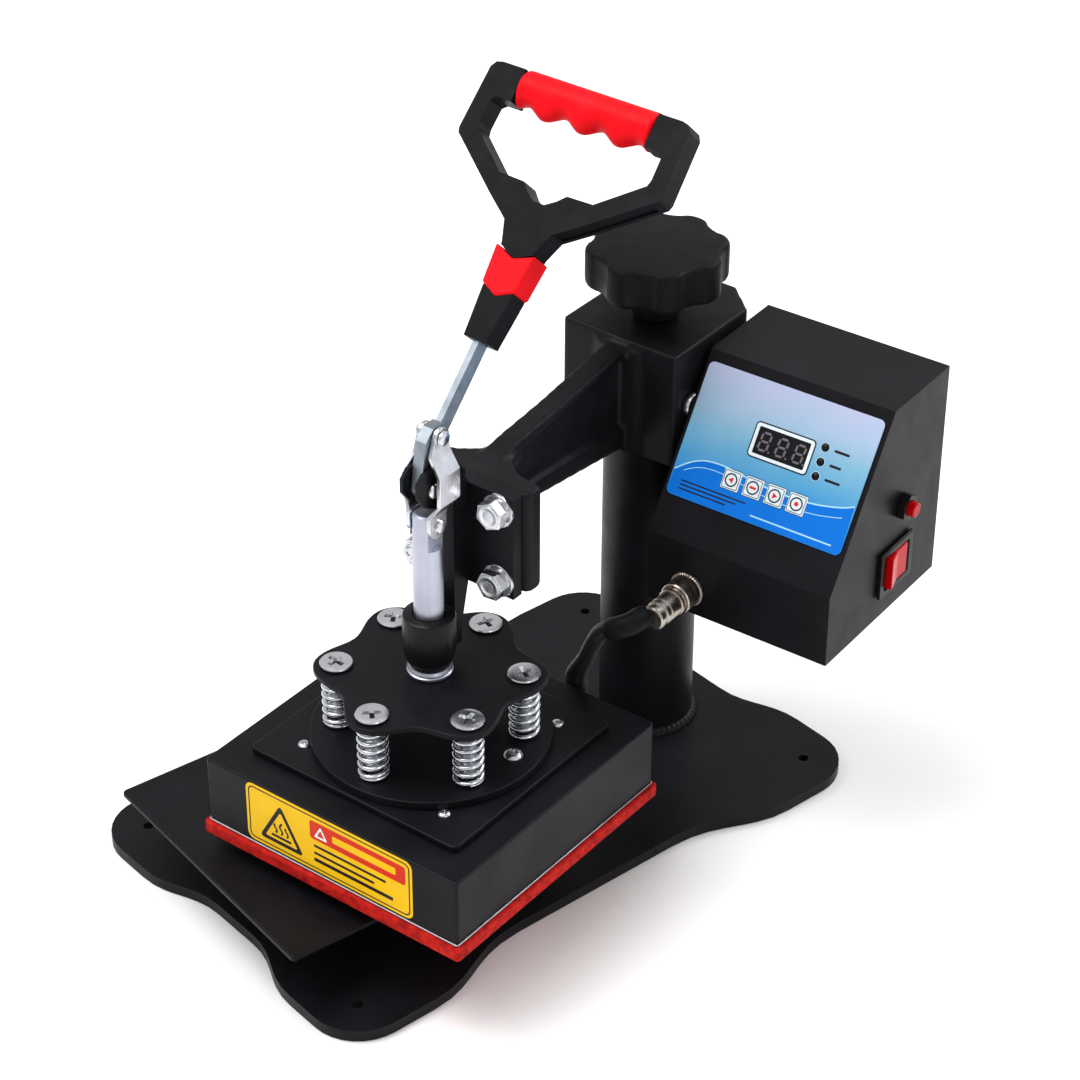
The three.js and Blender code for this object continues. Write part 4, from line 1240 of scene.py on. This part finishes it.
def panel():
    """The film, what is printed on it, and what shows through it."""
    film()
    crest = [(0.7, 12), (8, 17.5), (15, 20.3), (24, 21), (34, 20)]
    crest += [(48, 18.4), (62, 18), (76, 19), (88, 21.5), (94.8, 24)]
    line = [(p.x, p.y) for p in smooth_path([(x, y, 0) for x, y in crest], 6)]
    lower_corners = rounded(0.2, 0.2, FILM_W - 0.2, 30, 2.8)[14:]
    sea = printed([line + lower_corners[::-1]], DEEP_BLUE, 0.03)
    for loop in window_loops()[1:]:
        carve(sea, printed([loop], DEEP_BLUE, 2, FILM_T - 1))
    second = [(x, y - 3.2 - 0.02 * x) for x, y in line[4:-4]]
    parts = [
        sea,
        printed([strip(line, 0.7)], PALE_INK, 0.06),
        printed([strip(second, 0.35)], PALE_INK, 0.06),
    ]
    for row in range(3):
        y = 7.6 - 2 * row
        parts.append(printed([rounded(6, y, 42 - 5 * row, y + 0.7, 0.3)], BLACK_INK, 0.05))
    parts.append(printed([rounded(46, 3.2, 90, 3.9, 0.3)], PALE_INK, 0.05))
    fix(joined("panel_print", *parts), "arm", "overlay")
    window()
    for i in range(1, 5):
        key(i)
    for number, v, length in ((1, 45.3, 8), (2, 38.2, 6), (3, 31.2, 8)):
        lamp(number, 71, v, length)


def window_loops():
    """The film's holes: the display's, then the keys'."""
    return [grown(name, 0.3, 0.3, 0.6, 3) for name in ("display", "key_1", "key_2", "key_3", "key_4")]


def grown(name, across, up, r, steps=6):
    """The rounded outline of a node on the panel, moved out, or in where the distances are negative."""
    low, high = span(name, PANEL)
    return rounded(low.x - across, low.y - up, high.x + across, high.y + up, r, steps)


def film():
    """The printed film, with rounded corners and a hole for each thing that shows through it."""
    loops = [rounded(0, 0, FILM_W, FILM_H, 3)] + window_loops()
    stand_in(plate("panel_overlay_fine", loops, 0, FILM_T, PANEL, FILM, 0.15, 2), "panel_overlay")


def digit(u, v, width, height, z):
    """The seven bars of one unlit digit."""
    thick, lean = 1.05, 0.08

    def bar(x, y, half, upright):
        tips = [(0.4 - half, 0), (0.9 - half, thick / 2), (half - 0.9, thick / 2)]
        tips += [(-a, -b) for a, b in tips]
        shape = [(b, a) if upright else (a, b) for a, b in tips]
        return printed([[(u + x + a + lean * (y + b), v + y + b) for a, b in shape]], DIGIT_GREY, 0.08, z)

    bars = [bar(0, y * height / 2, width / 2, False) for y in (-1, 0, 1)]
    for x, y in ((-1, -1), (-1, 1), (1, -1), (1, 1)):
        bars.append(bar(x * width / 2, y * height / 4, height / 4, True))
    return bars


def window():
    """The display in its white rim and black line, with three unlit digits."""
    low, high = span("display", PANEL)
    refined("display", GLOSS, 0.2, 2)
    rim = [grown("display", 1.6, 1.4, 1.6), grown("display", -0.1, -0.1, 0.6)]
    line = [grown("display", 2.3, 2.1, 2.2), grown("display", 1.7, 1.5, 1.7)]
    parts = [
        plate("rim", rim, FILM_T - 0.1, FILM_T + 0.35, PANEL, WHITE_INK, 0.1, 2),
        printed(line, BLACK_INK, 0.06),
    ]
    v = (low.y + high.y) / 2
    for k in range(3):
        u = low.x + (high.x - low.x) * (k + 0.5) / 3
        parts += digit(u, v, 4.6, 8.4, high.z - 0.02)
        parts.append(printed([circle(u + 3.5, v - 4.2, 0.5, 12)], DIGIT_GREY, 0.08, high.z - 0.02))
    fix(joined("display_print", *parts), "arm", "overlay")


def key(i):
    """A white key with a border, a ring and a plain mark."""
    name = f"key_{i}"
    refined(name, KEY_WHITE, 0.5)
    at = middle(name, PANEL)
    u, v = at.x, at.y
    z = span(name, PANEL)[1].z - 0.02
    border = [grown(name, -0.55, -0.55, 0.9), grown(name, -0.85, -0.85, 0.7)]
    marks = {
        1: near(u, v, (-1.5, 0), (1.0, 1.5), (1.0, -1.5)),
        2: near(u, v, (-1.7, -0.6), (1.7, -0.6), (1.7, 0.6), (-1.7, 0.6)),
        3: near(u, v, (1.5, 0), (-1.0, 1.5), (-1.0, -1.5)),
        4: circle(u, v, 1.1, 20),
    }
    parts = [
        printed([circle(u, v, 3.3, 40), circle(u, v, 2.6, 40)], BLACK_INK, 0.07, z),
        printed(border, BLACK_INK, 0.06, z),
        printed([marks[i]], LABEL_RED, 0.07, z),
    ]
    fix(joined(name + "_print", *parts), name, "overlay")


def lamp(number, u, v, length):
    """A dark dome in a pale ring, with a short line beside it."""
    profile = [(0, -0.4), (2.0, -0.4), (2.0, 0.3), (1.7, 0.75), (0.9, 1.05), (0, 1.15)]
    parts = [
        lathe(f"lamp_{number}", profile, moved(PANEL, u, v, FILM_T), GLOSS, sides=32),
        printed([circle(u, v, 2.45, 40), circle(u, v, 2.1, 40)], PALE_INK, 0.06),
        printed([rounded(u + 5, v - 0.7, u + 5 + length, v + 0.5, 0.4)], BLACK_INK, 0.05),
    ]
    fix(joined(f"lamp_{number}_set", *parts), "arm", "overlay")


lead()
base()
lifting_parts()
arm()
plunger()
head()
hot_label()
handle()
control_box()
panel()
add_studio()
